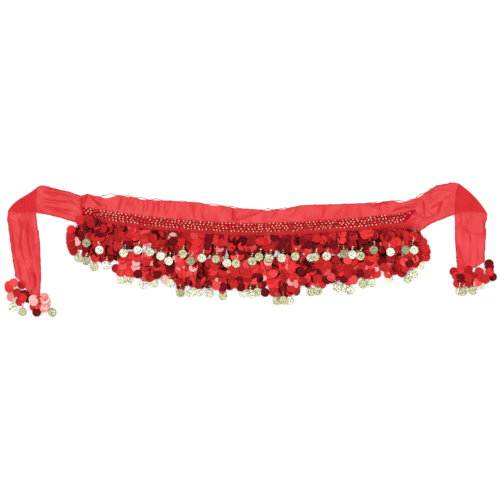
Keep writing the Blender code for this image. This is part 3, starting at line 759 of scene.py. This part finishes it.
def make_band():
    """The band, which is a little wider towards its right end and then tapers."""
    stations, across = spaced(BAND_START, BAND_END), np.linspace(0, 1, 17)
    middle = through(BODY, "x", "band", stations)
    wobble = 0.0015 + 0.0007 * ripple(stations, stations, 5, 0.012)
    high = middle + BAND_HEIGHT / 2 + 0.0035 * ease((stations - 0.36) / 0.05)
    taper = 0.08 + 0.92 * ease((BAND_END - stations) / 0.030)
    depth = (high - middle + BAND_HEIGHT / 2) * taper + 2 * wobble
    x = np.repeat(stations[:, None], len(across), axis=1)
    y = (high + wobble)[:, None] - depth[:, None] * across
    z = body_height(x, y) + BAND_UP + 0.0004 * ripple(x, y, 8, 0.009)
    border = np.broadcast_to(1.3 * edge_dark(across, 0.14), x.shape)
    return cloth("band_cloth", x, y, z, band_material(), border=border)


def line_across(rows, along, across, side):
    """Plan points across a tie, for each length along it."""
    ox, oy, ix, iy, bow, sag = (through(rows, "along", c, along)[:, None] for c in AcrossTie._fields[1:])
    wide, deep = ix - ox, iy - oy
    length = np.hypot(wide, deep)
    wavy = across + 0.0017 / length * ripple(along, along, 12 + side, 0.034)[:, None] * (2 * across - 1)
    lop = LEFT_LOP if side < 0 else 0
    swell = bow / length * 4 * across * (1 - across) * (1 + lop * (2 * across - 1))
    low_part = (1 - across) ** (1 if side > 0 else 2)
    drop = sag * 4 * low_part * (1 - low_part)
    return ox + wide * wavy + np.abs(deep) * side * swell, oy + deep * wavy + np.abs(wide) * swell - drop


def make_tie(name, run, drop, side, run_creases, drop_creases):
    """One sheet: the run on the floor, the fold at its far end, and the drop back over it and down."""
    across = np.linspace(0, 1, 38)[None, :]
    edge = 0.80 * edge_dark(across, 0.055)
    run_at, drop_at = (spaced(0, rows[-1].along) for rows in (run, drop))

    x, y = line_across(run, run_at[:-1], across, side)
    raised, dark = crease_field(run_creases, x, y)
    free = 1 - ease((side * x - side * run[-1].outer_x + 0.030) / 0.020)
    z = LOW_CLOTH + (raised + WAVE * (1 + ripple(x, y, 31 + side, 0.05))) * free
    sheets = [(x, y, z, np.clip((dark + edge) * free, 0, 2))]

    x, y = line_across(run, run_at[-1:], across, side)
    out = Vector((run[-1].outer_y - run[-1].inner_y, run[-1].inner_x - run[-1].outer_x)).normalized()
    out = out if out.x * side > 0 else -out
    for turn in np.linspace(0, math.pi, 7):
        shift = FOLD_RADIUS * math.sin(turn)
        z = np.full_like(x, LOW_CLOTH + FOLD_RADIUS * (1 - math.cos(turn)))
        sheets.append((x + out.x * shift, y + out.y * shift, z, np.full_like(x, 0.85)))

    x, y = line_across(drop, drop_at[1:], across, side)
    raised, dark = crease_field(drop_creases, x, y)
    above_run = y - max(row.inner_y for row in run)
    z = LOW_CLOTH + 2 * FOLD_RADIUS * ease(1 + above_run / 0.030)
    z += (raised + WAVE * (1 + ripple(x, y, 41 + side, 0.05))) * ease(drop_at[1:, None] / 0.03)
    # Where the drop lies over the run it is darker: partly the second layer, partly painted shade.
    over_run = ease((above_run + 0.002) / 0.003)
    sheets.append((x, y, z, np.clip(dark + 0.62 * over_run + edge * (1 - over_run), 0, 2)))

    x, y, z, dark = (np.concatenate(parts) for parts in zip(*sheets))
    along, over = np.meshgrid(np.arange(len(x)) * CELL, across[0] * TIE_WIDTH, indexing="ij")
    place = np.stack([over, TIE_GRAIN * along, np.zeros_like(over)], axis=2)
    return cloth(name, x, y, z, chiffon(name + "_chiffon"), place, doubled=dark)


# Small parts, made once and copied into one mesh


class Batch:
    """Copies of small shapes, gathered into one mesh."""

    def __init__(self):
        self.points, self.faces, self.tones, self.count = [], [], [], 0

    def add(self, shape, matrix=Matrix(), tone=None):
        points, faces, shades = shape
        self.points.append(points @ np.array(matrix.to_3x3()).T + np.array(matrix.translation))
        self.faces += [[self.count + i for i in face] for face in faces]
        self.count += len(points)
        if tone is not None:
            self.tones.append(np.outer(shades, (*tone, 1.0)))

    def make(self, name, material, sharp=math.pi):
        made = add_mesh(name, np.concatenate(self.points), self.faces, material)
        made.data.set_sharp_from_angle(angle=sharp)
        if self.tones:
            colours = made.data.color_attributes.new("tone", "FLOAT_COLOR", "POINT")
            colours.data.foreach_set("color", np.concatenate(self.tones).ravel().astype(np.float32))
        return made


def closed_skin(grid):
    """Rings of points joined into a skin that is closed at both ends, and the shade of each point."""
    lines, columns = grid.shape[:2]
    ends = [list(range(columns))[::-1], list(range((lines - 1) * columns, lines * columns))]
    return grid.reshape(-1, 3), skin(lines, columns, True) + ends, np.ones(lines * columns)


def turns(count):
    return TURN * np.arange(count) / count


def round_z(radius, at, height):
    """Points round the Z axis, at turns round it."""
    return np.stack(np.broadcast_arrays(radius * np.cos(at), radius * np.sin(at), height), axis=-1)


def spun(rings, segments):
    """A closed skin through rings of a radius and a height, from below upwards."""
    radius, height = np.array(rings).T[:, :, None]
    return closed_skin(round_z(radius, turns(segments), height))


def paillette_shape(curl):
    """A thin dished disc, hollow side up, curled round one of its axes, with painted shade along its edge.
    """
    inner = [(share * PAILLETTE, DISH * (share**2 - 1)) for share in (0.12, 0.42, 0.70, 0.92)]
    rings = [(radius, height - PAILLETTE_WALL / 2) for radius, height in inner]
    rings += [(PAILLETTE, -PAILLETTE_WALL / 4), (PAILLETTE, PAILLETTE_WALL / 4)]
    rings += [(radius, height + PAILLETTE_WALL / 2) for radius, height in inner[::-1]]
    points, faces, shades = spun(rings, 20)
    points[:, 2] += curl * ((points[:, 0] / PAILLETTE) ** 2 - 0.25)
    shades[4 * 20 : 6 * 20] = RIM_SHADE
    return points, faces, shades


def coin_shape():
    """A thin coin with a raised rim, a ring of dots and a rosette of six petals on both faces."""
    at = turns(48)
    share = np.array((0.10, 0.24, 0.38, 0.50, 0.60, 0.66, 0.72, 0.78, 0.84, 0.90, 0.97, 1.0))[:, None]
    petals = (0.5 + 0.5 * np.cos(6 * at)) * np.sin(np.pi * np.clip(share / 0.60, 0, 1))
    dots = 0.8 * (0.5 + 0.5 * np.cos(12 * at)) * np.sin(np.pi * np.clip((share - 0.60) / 0.24, 0, 1))
    rim = 0.8 * ((share > 0.88) & (share < 0.99))
    face = round_z(COIN * share, at, COIN_WALL / 2 + COIN_RELIEF * (petals + dots + rim))
    return closed_skin(np.concatenate([face * (1, 1, -1), face[::-1]]))


def bead_shape(radius, length, segments, steps):
    """A barrel bead round Z."""
    at = math.pi * (0.07 + 0.86 * np.arange(steps + 1) / steps)
    return spun(np.stack([radius * np.sin(at), -length / 2 * np.cos(at)], axis=1), segments)


def ring_shape(radius, wire, segments, sides):
    a, b = turns(segments)[:, None], turns(sides)[None, :]
    points = round_z(radius + wire * np.cos(b), a, wire * np.sin(b)).reshape(-1, 3)
    return points, skin(segments, sides, True, True), np.ones(len(points))


def tube(path, radius, sides=5):
    """A tube along a path of points, closed at both ends."""
    path = np.asarray(path, float)
    ahead = np.gradient(path, axis=0)
    ahead /= np.maximum(np.linalg.norm(ahead, axis=1)[:, None], 1e-9)
    side = np.cross(ahead, (0.0, 0.0, 1.0))
    side /= np.maximum(np.linalg.norm(side, axis=1)[:, None], 1e-9)
    up = np.cross(ahead, side)
    rings = [path + radius * (math.cos(a) * side + math.sin(a) * up) for a in turns(sides)]
    return closed_skin(np.stack(rings, axis=1))


def lying(place, normal, spin=0.0):
    """A matrix that puts a flat shape at a place, with its axis along a normal."""
    turn = Vector((0, 0, 1)).rotation_difference(normal).to_matrix()
    return Matrix.Translation(place) @ (turn @ Matrix.Rotation(spin, 3, "Z")).to_4x4()


# The pile of paillettes


class Pile:
    """Heights of what already lies there, on a fine grid, and the height below which it has to stay: that of
    the cloth over the roots, and elsewhere the top of the whole pile."""

    STEP = 0.0015

    def __init__(self, low, high):
        self.low = np.array(low)
        size = np.ceil((np.array(high) - self.low) / self.STEP).astype(int) + 1
        self.height = np.full(size, ABOVE_FLOOR)
        steps = [self.low[k] + self.STEP * np.arange(size[k]) for k in (0, 1)]
        self.x, self.y = np.meshgrid(*steps, indexing="ij")
        hem = through(BODY, "x", "hem", np.clip(self.x, BODY[0].x, BODY[-1].x))
        hem += 0.36 * np.maximum(BODY[0].x - self.x, 0) + 0.66 * np.maximum(self.x - BODY[-1].x, 0)
        self.top = np.where(self.y > hem - 0.001, hem_height(self.x, self.y) - 0.0005, PILE_TOP)

    def around(self, place, radius):
        """A window of the grid round a disc, and how far its points are from the disc's middle."""
        reach = int(radius / self.STEP) + 1
        middle = ((np.array(place) - self.low) / self.STEP).astype(int)
        window = tuple(slice(max(i - reach, 0), i + reach + 1) for i in middle)
        return window, self.x[window] - place.x, self.y[window] - place.y

    def cover(self, x, y, z):
        """Lays cloth down, by points no further apart than a cell and a half."""
        i, j = ((x - self.low[0]) / self.STEP).astype(int), ((y - self.low[1]) / self.STEP).astype(int)
        for di, dj in ((0, 0), (0, 1), (1, 0), (1, 1)):
            np.maximum.at(self.height, (i + di, j + dj), z)

    def slope(self, place, radius):
        """How the pile leans under a disc: rise per metre along X and Y."""
        window, dx, dy = self.around(place, radius)
        inside = dx**2 + dy**2 < radius**2
        z = self.height[window][inside]
        spread = (dx[inside] ** 2).sum()
        return Vector(((dx[inside] * z).sum() / spread, (dy[inside] * z).sum() / spread))

    def lay(self, place, radius, lean, wall, bears, settled=LEVEL, over=0.0):
        """Lays a leaning disc down and returns the height of its middle, and its lean. It comes to rest on
        the given share of what is below it, and turns towards its settled lean where it wouldn't fit between
        floor and top. A coin may lie a little over the top, and turns level where it would lie higher."""
        window, dx, dy = self.around(place, radius)
        z = self.height[window]
        for _ in range(5):
            plane = lean.x * dx + lean.y * dy
            inside = dx**2 + dy**2 + plane**2 < radius**2
            lowest = ABOVE_FLOOR + wall / 2 + radius * lean.length / math.hypot(1, lean.length)
            highest = (self.top[window] + over - plane)[inside].min() - wall / 2
            middle = np.quantile((z - plane)[inside], bears) + wall / 2
            if lowest <= highest and (not over or middle <= highest):
                break
            lean = (lean + settled) / 2
        middle = float(max(min(middle, highest), lowest))
        z[inside] = np.maximum(z[inside], plane[inside] + middle + wall / 2)
        return middle, lean


def normal_of(lean):
    return Vector((-lean.x, -lean.y, 1.0)).normalized()


def leaning(degrees, bearing):
    rise = math.tan(math.radians(degrees))
    return Vector((rise * math.cos(bearing), rise * math.sin(bearing)))


def hang_line(strand):
    """A strand's line from its root to its coin, by the share of its length, and that length. It goes
    straight down from the hem for most of the way, and only its lower end swings to where the coin lies."""
    straight = strand.coin - strand.root
    across = Vector((-straight.y, straight.x)).normalized()

    def at(share):
        place = strand.root + Vector((straight.x * share**3, straight.y * share))
        return place + across * strand.bow * math.sin(math.pi * share)

    return at, straight.length


def strands_from(roots, coins):
    return [Strand(Vector(root), Vector((c.x, c.y)), c.bow, c.tone) for root, c in zip(roots, coins)]


def hang_column(strand, tier, beside, pitch, start, end, in_front, dice):
    """A column of paillettes beside a strand's thread, between two distances from its coin."""
    at, length = hang_line(strand)
    down = (strand.coin - strand.root).normalized()
    moods = END_MOODS if strand.root.x < END_BELOW else tier.moods
    steps = max(round((end - start) / pitch), 1)
    hung = []
    while len(hung) <= steps:
        mood = dice.choices(moods, [m.often for m in moods])[0]
        tilt = dice.uniform(mood.tilt_least, mood.tilt_most)
        bearing = dice.choice((0, math.pi)) + dice.gauss(0, 0.25) if mood.sideways else dice.uniform(0, TURN)
        tones = dice.choices(REDS, mood.tones, k=2)
        aside = beside + dice.gauss(0, SCATTER)
        for _ in range(min(dice.randint(mood.least, mood.most), steps + 1 - len(hung))):
            away = start + (end - start) * len(hung) / steps
            away += dice.gauss(0, SCATTER) if len(hung) < steps else 0
            place = at(1 - away / length) + Vector((aside + dice.gauss(0, 0.0017), 0))
            lean = leaning(tilt + dice.gauss(0, 1.6), bearing + dice.gauss(0, 0.12))
            tone = tones[dice.random() < 0.25]
            order = away + in_front + dice.gauss(0, ORDER_SCATTER)
            # A flat paillette may get a painted highlight, a lighter tone.
            if not mood.sideways and dice.random() < tier.accents[0]:
                tone, lean = dice.choice(tier.accents[1:]), 0.5 * lean
                order -= ACCENT_STEP
            share = dice.uniform(0.80, 1.08)
            hung.append(Hung(order, place, lean, tuple(min(c * share, 1.0) for c in TONES[tone]), down))
    return hung


def placed(rows, first_order):
    """The paillettes of a table, in its order, between those of the columns."""
    hung = []
    for i, disc in enumerate(rows):
        place, lean = Vector((disc.x, disc.y)), leaning(disc.tilt, math.radians(disc.bearing))
        hung.append(Hung(first_order + ORDER_STEP * i, place, lean, TONES[disc.tone], DOWN))
    return hung


def lay_discs(hung, pile, discs, dice):
    for disc in hung:
        lean = disc.lean + SLOPE_SHARE * pile.slope(disc.place, 0.8 * PAILLETTE) + TILE_LEAN * disc.down
        if lean.length > MOST_LEAN:
            lean *= MOST_LEAN / lean.length
        z, lean = pile.lay(disc.place, PAILLETTE, lean, PAILLETTE_WALL, DISC_BEARS, SETTLED_LEAN * disc.down)
        shape = dice.choice(PAILLETTE_SHAPES)
        discs.add(shape, lying((*disc.place, z), normal_of(lean), dice.uniform(0, MOST_SPIN)), disc.tone)


def lay_coin(strand, dice, pile, coins, beads, threads):
    """A coin, the ring and the two gold beads above it, and the end of the thread."""
    lean = pile.slope(strand.coin, COIN) + leaning(abs(dice.gauss(0, 8)), dice.uniform(0, TURN))
    wall = COIN_WALL + 2 * COIN_RELIEF
    z, lean = pile.lay(strand.coin, COIN, lean, wall, COIN_BEARS, over=OVER_PILE)
    drawn = dice.choices(list(COIN_TONES), LOWER_COIN_TONES)[0]
    spin = dice.uniform(0, MOST_SPIN)
    coins.add(COIN_SHAPE, lying((*strand.coin, z), normal_of(lean), spin), COIN_TONES[strand.tone or drawn])
    up = (strand.root - strand.coin).normalized()
    side = Vector((-up.y, up.x)) * dice.uniform(-0.0012, 0.0012)
    path = []
    for away, sway, with_bead in ABOVE_COIN:
        point = strand.coin + up * away + side * sway
        top, _ = pile.lay(point, DROP_BEAD, LEVEL, 2 * DROP_BEAD if with_bead else THREAD_WALL, 0.7)
        path.append((*point, top))
        if with_bead:
            axis = Vector((*up, dice.uniform(-0.3, 0.3))).normalized()
            gold = GOLDS[dice.choice(("bright", "plain", "dull"))]
            beads.add(DROP_BEAD_SHAPE, lying(path[-1], axis), gold)
    ring = (*(strand.coin + up * COIN), min(max(z, 0.0012) + 0.0008, PILE_TOP))
    coins.add(RING_SHAPE, lying(ring, Vector((side.x * 100, 0.4, 1)).normalized()), COIN_TONES["gold"])
    threads.add(tube(path, COIN_THREAD))


def strand_thread(strand, dice, threads, height):
    """The crocheted thread of a strand: a small zigzag from the hem to the beads."""
    at, length = hang_line(strand)
    steps = int(length / 0.0024)
    path = []
    for i in range(steps + 1):
        point = at(i / steps * (1 - 0.020 / length))
        swing = 0.0012 * (1 if i % 2 else -1) + dice.gauss(0, 0.0003)
        path.append((point.x + swing, point.y, height + dice.uniform(-0.0006, 0.0006)))
    threads.add(tube(path, STRAND_THREAD))


def bare_length(tier, x, dice):
    """How much of a strand is bare thread: in the lower tier, as much as the upper one covers."""
    bare = dice.uniform(*tier.bare)
    if not tier.is_lower:
        return bare
    share = ease((x - BODY[0].x) / 0.085) * ease((BODY[-1].x - x) / 0.150)
    return END_BARE + (bare - END_BARE) * float(share)


def lay_tier(tier, *shared):
    """One tier of the fringe: its threads, and its coins and paillettes in the order in which they lie."""
    dice, pile, _, _, threads = shared
    discs, hung = Batch(), []
    for rows, first_order in tier.discs:
        hung += placed(rows, first_order)
    layout, turning = random.Random(dice.random()), random.Random(dice.random())
    roots = [tier.first_root + STRAND_PITCH * i for i in range(len(tier.coins))]
    strands = strands_from([(x, float(through(BODY, "x", "hem", x))) for x in roots], tier.coins)
    under = [dice.random() < chance for chance in tier.buried]
    for strand, buried in zip(strands, under):
        strand_thread(strand, dice, threads, THREAD_UP)
        if buried:
            lay_coin(strand, *shared)
        end = (strand.coin - strand.root).length - bare_length(tier, strand.root.x, layout)
        if strand is not strands[0] or not tier.is_lower:
            start = layout.uniform(*tier.end_gap)
            beside = layout.gauss(0, 0.002)
            hung += hang_column(strand, tier, beside, FRONT_PITCH, start, end, IN_FRONT, layout)
        beside = 0.5 * STRAND_PITCH * (1 if strand is not strands[-1] else -1)
        start = layout.uniform(*tier.end_gap) + 0.004
        hung += hang_column(strand, tier, beside, BACK_PITCH, start, end, 0.0, layout)
    front = placed(tier.front, LAST_LAID)
    for disc in front:
        hung.remove(min(hung, key=lambda other: (other.place - disc.place).length))
    lay_discs(sorted(hung + front), pile, discs, turning)
    for strand, buried in zip(strands, under):
        if not buried:
            lay_coin(strand, *shared)
    if not tier.is_lower:
        x, y = np.meshgrid(np.arange(BODY[0].x, -0.36, 0.001), np.arange(0.05, 0.10, 0.001), indexing="ij")
        inside = y > through(BODY, "x", "hem", x)
        pile.top[:] = PILE_TOP
        pile.cover(x[inside], y[inside], body_height(x[inside], y[inside]) + OVER_CLOTH)
        lay_discs(placed(ON_CLOTH, 0), pile, discs, turning)
    return discs.make(tier.name, FOIL, 0.5)


def lay_tie_end(end, *shared):
    """The fringe of a tie, whose paillettes lie as the tables say, some below its cloth and some on it. The
    buried coin lies below all of them."""
    dice, pile, _, _, threads = shared
    discs, turning = Batch(), random.Random(dice.random())
    strands = strands_from(end.roots, end.coins)
    for strand in strands:
        strand_thread(strand, dice, threads, TIE_THREAD_UP)
    lay_coin(strands.pop(end.buried), *shared)
    lay_discs(placed(end.under, 0), pile, discs, turning)
    along = np.arange(end.rows[-1].along - 0.06, end.rows[-1].along, 0.001)
    pile.cover(*line_across(end.rows, along, np.linspace(0, 1, 60)[None, :], end.side), LOW_CLOTH + CLOTH)
    lay_discs(placed(end.over, 0), pile, discs, turning)
    for strand in strands:
        lay_coin(strand, *shared)
    return discs.make(end.name, FOIL, 0.5)


def make_fringes():
    """Both tiers and the ends of the ties, in one pile. Their threads are returned, for the edging."""
    coins, beads, threads = Batch(), Batch(), Batch()
    shared = (random.Random(32), Pile(*PILE_PLAN), coins, beads, threads)
    belongs(lay_tier(LOWER_TIER, *shared), "paillettes", "lower_fringe")
    belongs(lay_tier(UPPER_TIER, *shared), "paillettes", "upper_fringe")
    belongs(lay_tie_end(LEFT_END, *shared), "paillettes", "left_tie_fringe")
    belongs(lay_tie_end(RIGHT_END, *shared), "paillettes", "right_tie_fringe")
    belongs(coins.make("coins", coin_material()), "coins")
    belongs(beads.make("drop_beads", BEAD_GOLD), "gold_beads")
    return threads


def make_band_beads():
    """Four rows of seed beads, each set off a little from the last, and the threads that carry them."""
    dice = random.Random(4)
    beads, threads = Batch(), Batch()
    for number, row in enumerate(BEAD_ROWS):
        x = BEAD_ROWS[0].start + row.first * BEAD_PITCH
        while x < row.end:
            at = x + BEAD_DRIFT * BEAD_PITCH * math.sin(9 * x + 2 * number) + dice.gauss(0, 0.0008)
            shift = 0.0030 * ease((at - 0.36) / 0.05) if number == 0 else 0.0
            y = through(BODY, "x", "band", at) + row.offset + shift + dice.gauss(0, 0.0007)
            z = body_height(at, y) + BAND_UP + BEAD_UP
            axis = Vector((dice.uniform(-1, 1), dice.uniform(-1, 1), dice.uniform(0.0, 0.5))).normalized()
            tone = GOLDS[dice.choices(list(GOLDS), BAND_GOLDS)[0]]
            beads.add(SEED_BEAD_SHAPE, lying((at, y, z), axis), tone)
            x += BEAD_PITCH
        x = np.arange(row.start - 0.003, row.end + 0.003, 0.0029)
        y = through(BODY, "x", "band", x) + row.offset + 0.0011 * np.where(np.arange(len(x)) % 2, 1.0, -1.0)
        path = np.stack([x, y, body_height(x, y) + BAND_UP + 0.0004], axis=1)
        threads.add(tube(path, BAND_THREAD, 4))
    belongs(beads.make("band_beads", BEAD_GOLD), "gold_beads")
    belongs(threads.make("band_threads", RED_THREAD), "thread")


def edge_path(x, y, z):
    """Thread along an edge, with a small wobble, standing off where it is lifted."""
    gap = 0.0005 + 0.0004 * np.sin(x * 900 + y * 700)
    for lift in LIFT_OFFS:
        share = np.clip((x - lift.start) / (lift.end - lift.start), 0, 1)
        gap = np.maximum(gap, lift.gap * np.sin(np.pi * share) ** 0.7)
    ahead = np.gradient(np.stack([x, y], axis=1), axis=0)
    ahead /= np.linalg.norm(ahead, axis=1)[:, None]
    return np.stack([x - ahead[:, 1] * gap, y + ahead[:, 0] * gap, z], axis=1)


def tie_edge(rows, side, across, start=0.0, end=0.0):
    """Plan points along a tie, at a share of its width, apart from stretches at its start and at its end."""
    along = np.arange(0.0, rows[-1].along - end, EDGE_STEP)
    x, y = line_across(rows, along[along >= start], np.array([[across]]), side)
    return x[:, 0], y[:, 0]


def make_edging(threads):
    """The thread sewn along the long edges, with loops, and the few beads caught in it."""
    low, high = LOW_CLOTH + 0.0004, LOW_CLOTH + 2 * FOLD_RADIUS + 0.0003
    body_x = np.arange(BODY[0].x, BODY[-1].x, EDGE_STEP)
    (left_x, left_y), (right_x, right_y) = tie_edge(LEFT_RUN, -1, 0.0), tie_edge(RIGHT_RUN, 1, 0.0)
    x = np.concatenate([left_x[::-1], body_x, right_x])
    y = np.concatenate([left_y[::-1], through(TOP_EDGE, "x", "y", body_x), right_y])
    path = edge_path(x, y, np.full_like(x, low))
    threads.add(tube(path, EDGE_THREAD))
    path[:, 1] += 0.0010 * np.sin(x * 260) * np.sin(x * 71)
    path[:, 2] += 0.0003
    threads.add(tube(path, LOOP_THREAD, 4))
    for rows, side in ((LEFT_DROP, -1), (RIGHT_DROP, 1)):
        for across, start in ((0.0, 0.085), (1.0, 0.012)):
            x, y = tie_edge(rows, side, across, start)
            z = low + (high - low) * ease((y - 0.070) / 0.03)
            wobble = 0.0003 + 0.0005 * np.sin(y * 410) * np.sin(y * 150)
            x = x + side * (2 * across - 1) * wobble
            threads.add(tube(np.stack([x, y, z], axis=1), TIE_EDGE_THREAD))
    for rows, side in ((LEFT_RUN, -1), (RIGHT_RUN, 1)):
        x, y = tie_edge(rows, side, 1.0, end=0.045)
        y = y - 0.0003 + 0.0004 * np.sin(x * 500)
        threads.add(tube(np.stack([x, y, np.full_like(x, low)], axis=1), TIE_EDGE_THREAD))
    belongs(threads.make("threads", RED_THREAD), "thread")
    dice, beads = random.Random(9), Batch()
    for spot in EDGE_BEADS:
        axis = Vector((dice.uniform(-1, 1), dice.uniform(-1, 1), 0.1)).normalized()
        beads.add(SEED_BEAD_SHAPE, lying((spot.x, spot.y, EDGE_BEAD_UP), axis), GOLDS["olive"])
    belongs(beads.make("edging_beads", BEAD_GOLD), "gold_beads")


# Studio


def softbox(name, place, size, radiance):
    """A square light that faces the middle of the scarf."""
    data = bpy.data.lights.new(name, "AREA")
    data.shape = "SQUARE"
    data.size = size
    data.energy = radiance * math.pi * size * size
    light = add_object(name, data)
    light.location = place
    light.rotation_euler = (-Vector(place)).to_track_quat("-Z", "Y").to_euler()


def make_studio():
    white, _, shader = principled("floor_white", (0.95, 0.95, 0.95), 0.9)
    shader.inputs["Specular IOR Level"].default_value = 0.0
    corners = [(-4, -4, 0), (4, -4, 0), (4, 4, 0), (-4, 4, 0)]
    floor = add_mesh("floor", corners, [(0, 1, 2, 3)], white)
    world = bpy.data.worlds.new("studio")
    world.use_nodes = True
    world.node_tree.nodes["Background"].inputs["Color"].default_value = (0.55, 0.55, 0.55, 1.0)
    bpy.context.scene.world = world
    for name, settings in LIGHTS.items():
        softbox(name, *settings)
    data = bpy.data.cameras.new("camera")
    data.lens = data.sensor_width * CAMERA_AWAY / PHOTO_WIDTH
    camera = add_object("camera", data)
    camera.location = (0.0, 0.0, CAMERA_AWAY + SCARF_MIDDLE)
    bpy.context.scene.camera = camera
    bpy.context.scene.view_settings.view_transform = "Standard"


PAILLETTE_SHAPES = [paillette_shape(curl) for curl in CURLS]
COIN_SHAPE = coin_shape()
RING_SHAPE = ring_shape(RING, RING_WIRE, 10, 4)
DROP_BEAD_SHAPE = bead_shape(DROP_BEAD, 1.8 * DROP_BEAD, 10, 6)
SEED_BEAD_SHAPE = bead_shape(SEED_BEAD, 1.7 * SEED_BEAD, 8, 5)
FOIL = toned_material("red_foil", 0.28, 1.0, **{"Coat Weight": 0.08, "Coat Roughness": 0.1})
RED_THREAD = thread_material()
BEAD_GOLD = toned_material("bead_gold", 0.30, 0.15)


def main():
    body = make_body()
    belongs(body, "chiffon", "body_panel")
    left = make_tie("left_tie_cloth", LEFT_RUN, LEFT_DROP, -1, LEFT_RUN_CREASES, LEFT_DROP_CREASES)
    belongs(left, "chiffon", "left_tie")
    right = make_tie("right_tie_cloth", RIGHT_RUN, RIGHT_DROP, 1, RIGHT_RUN_CREASES, RIGHT_DROP_CREASES)
    belongs(right, "chiffon", "right_tie")
    band = make_band()
    belongs(band, "beadwork", "bead_band")
    threads = make_fringes()
    make_band_beads()
    make_edging(threads)
    make_studio()


main()
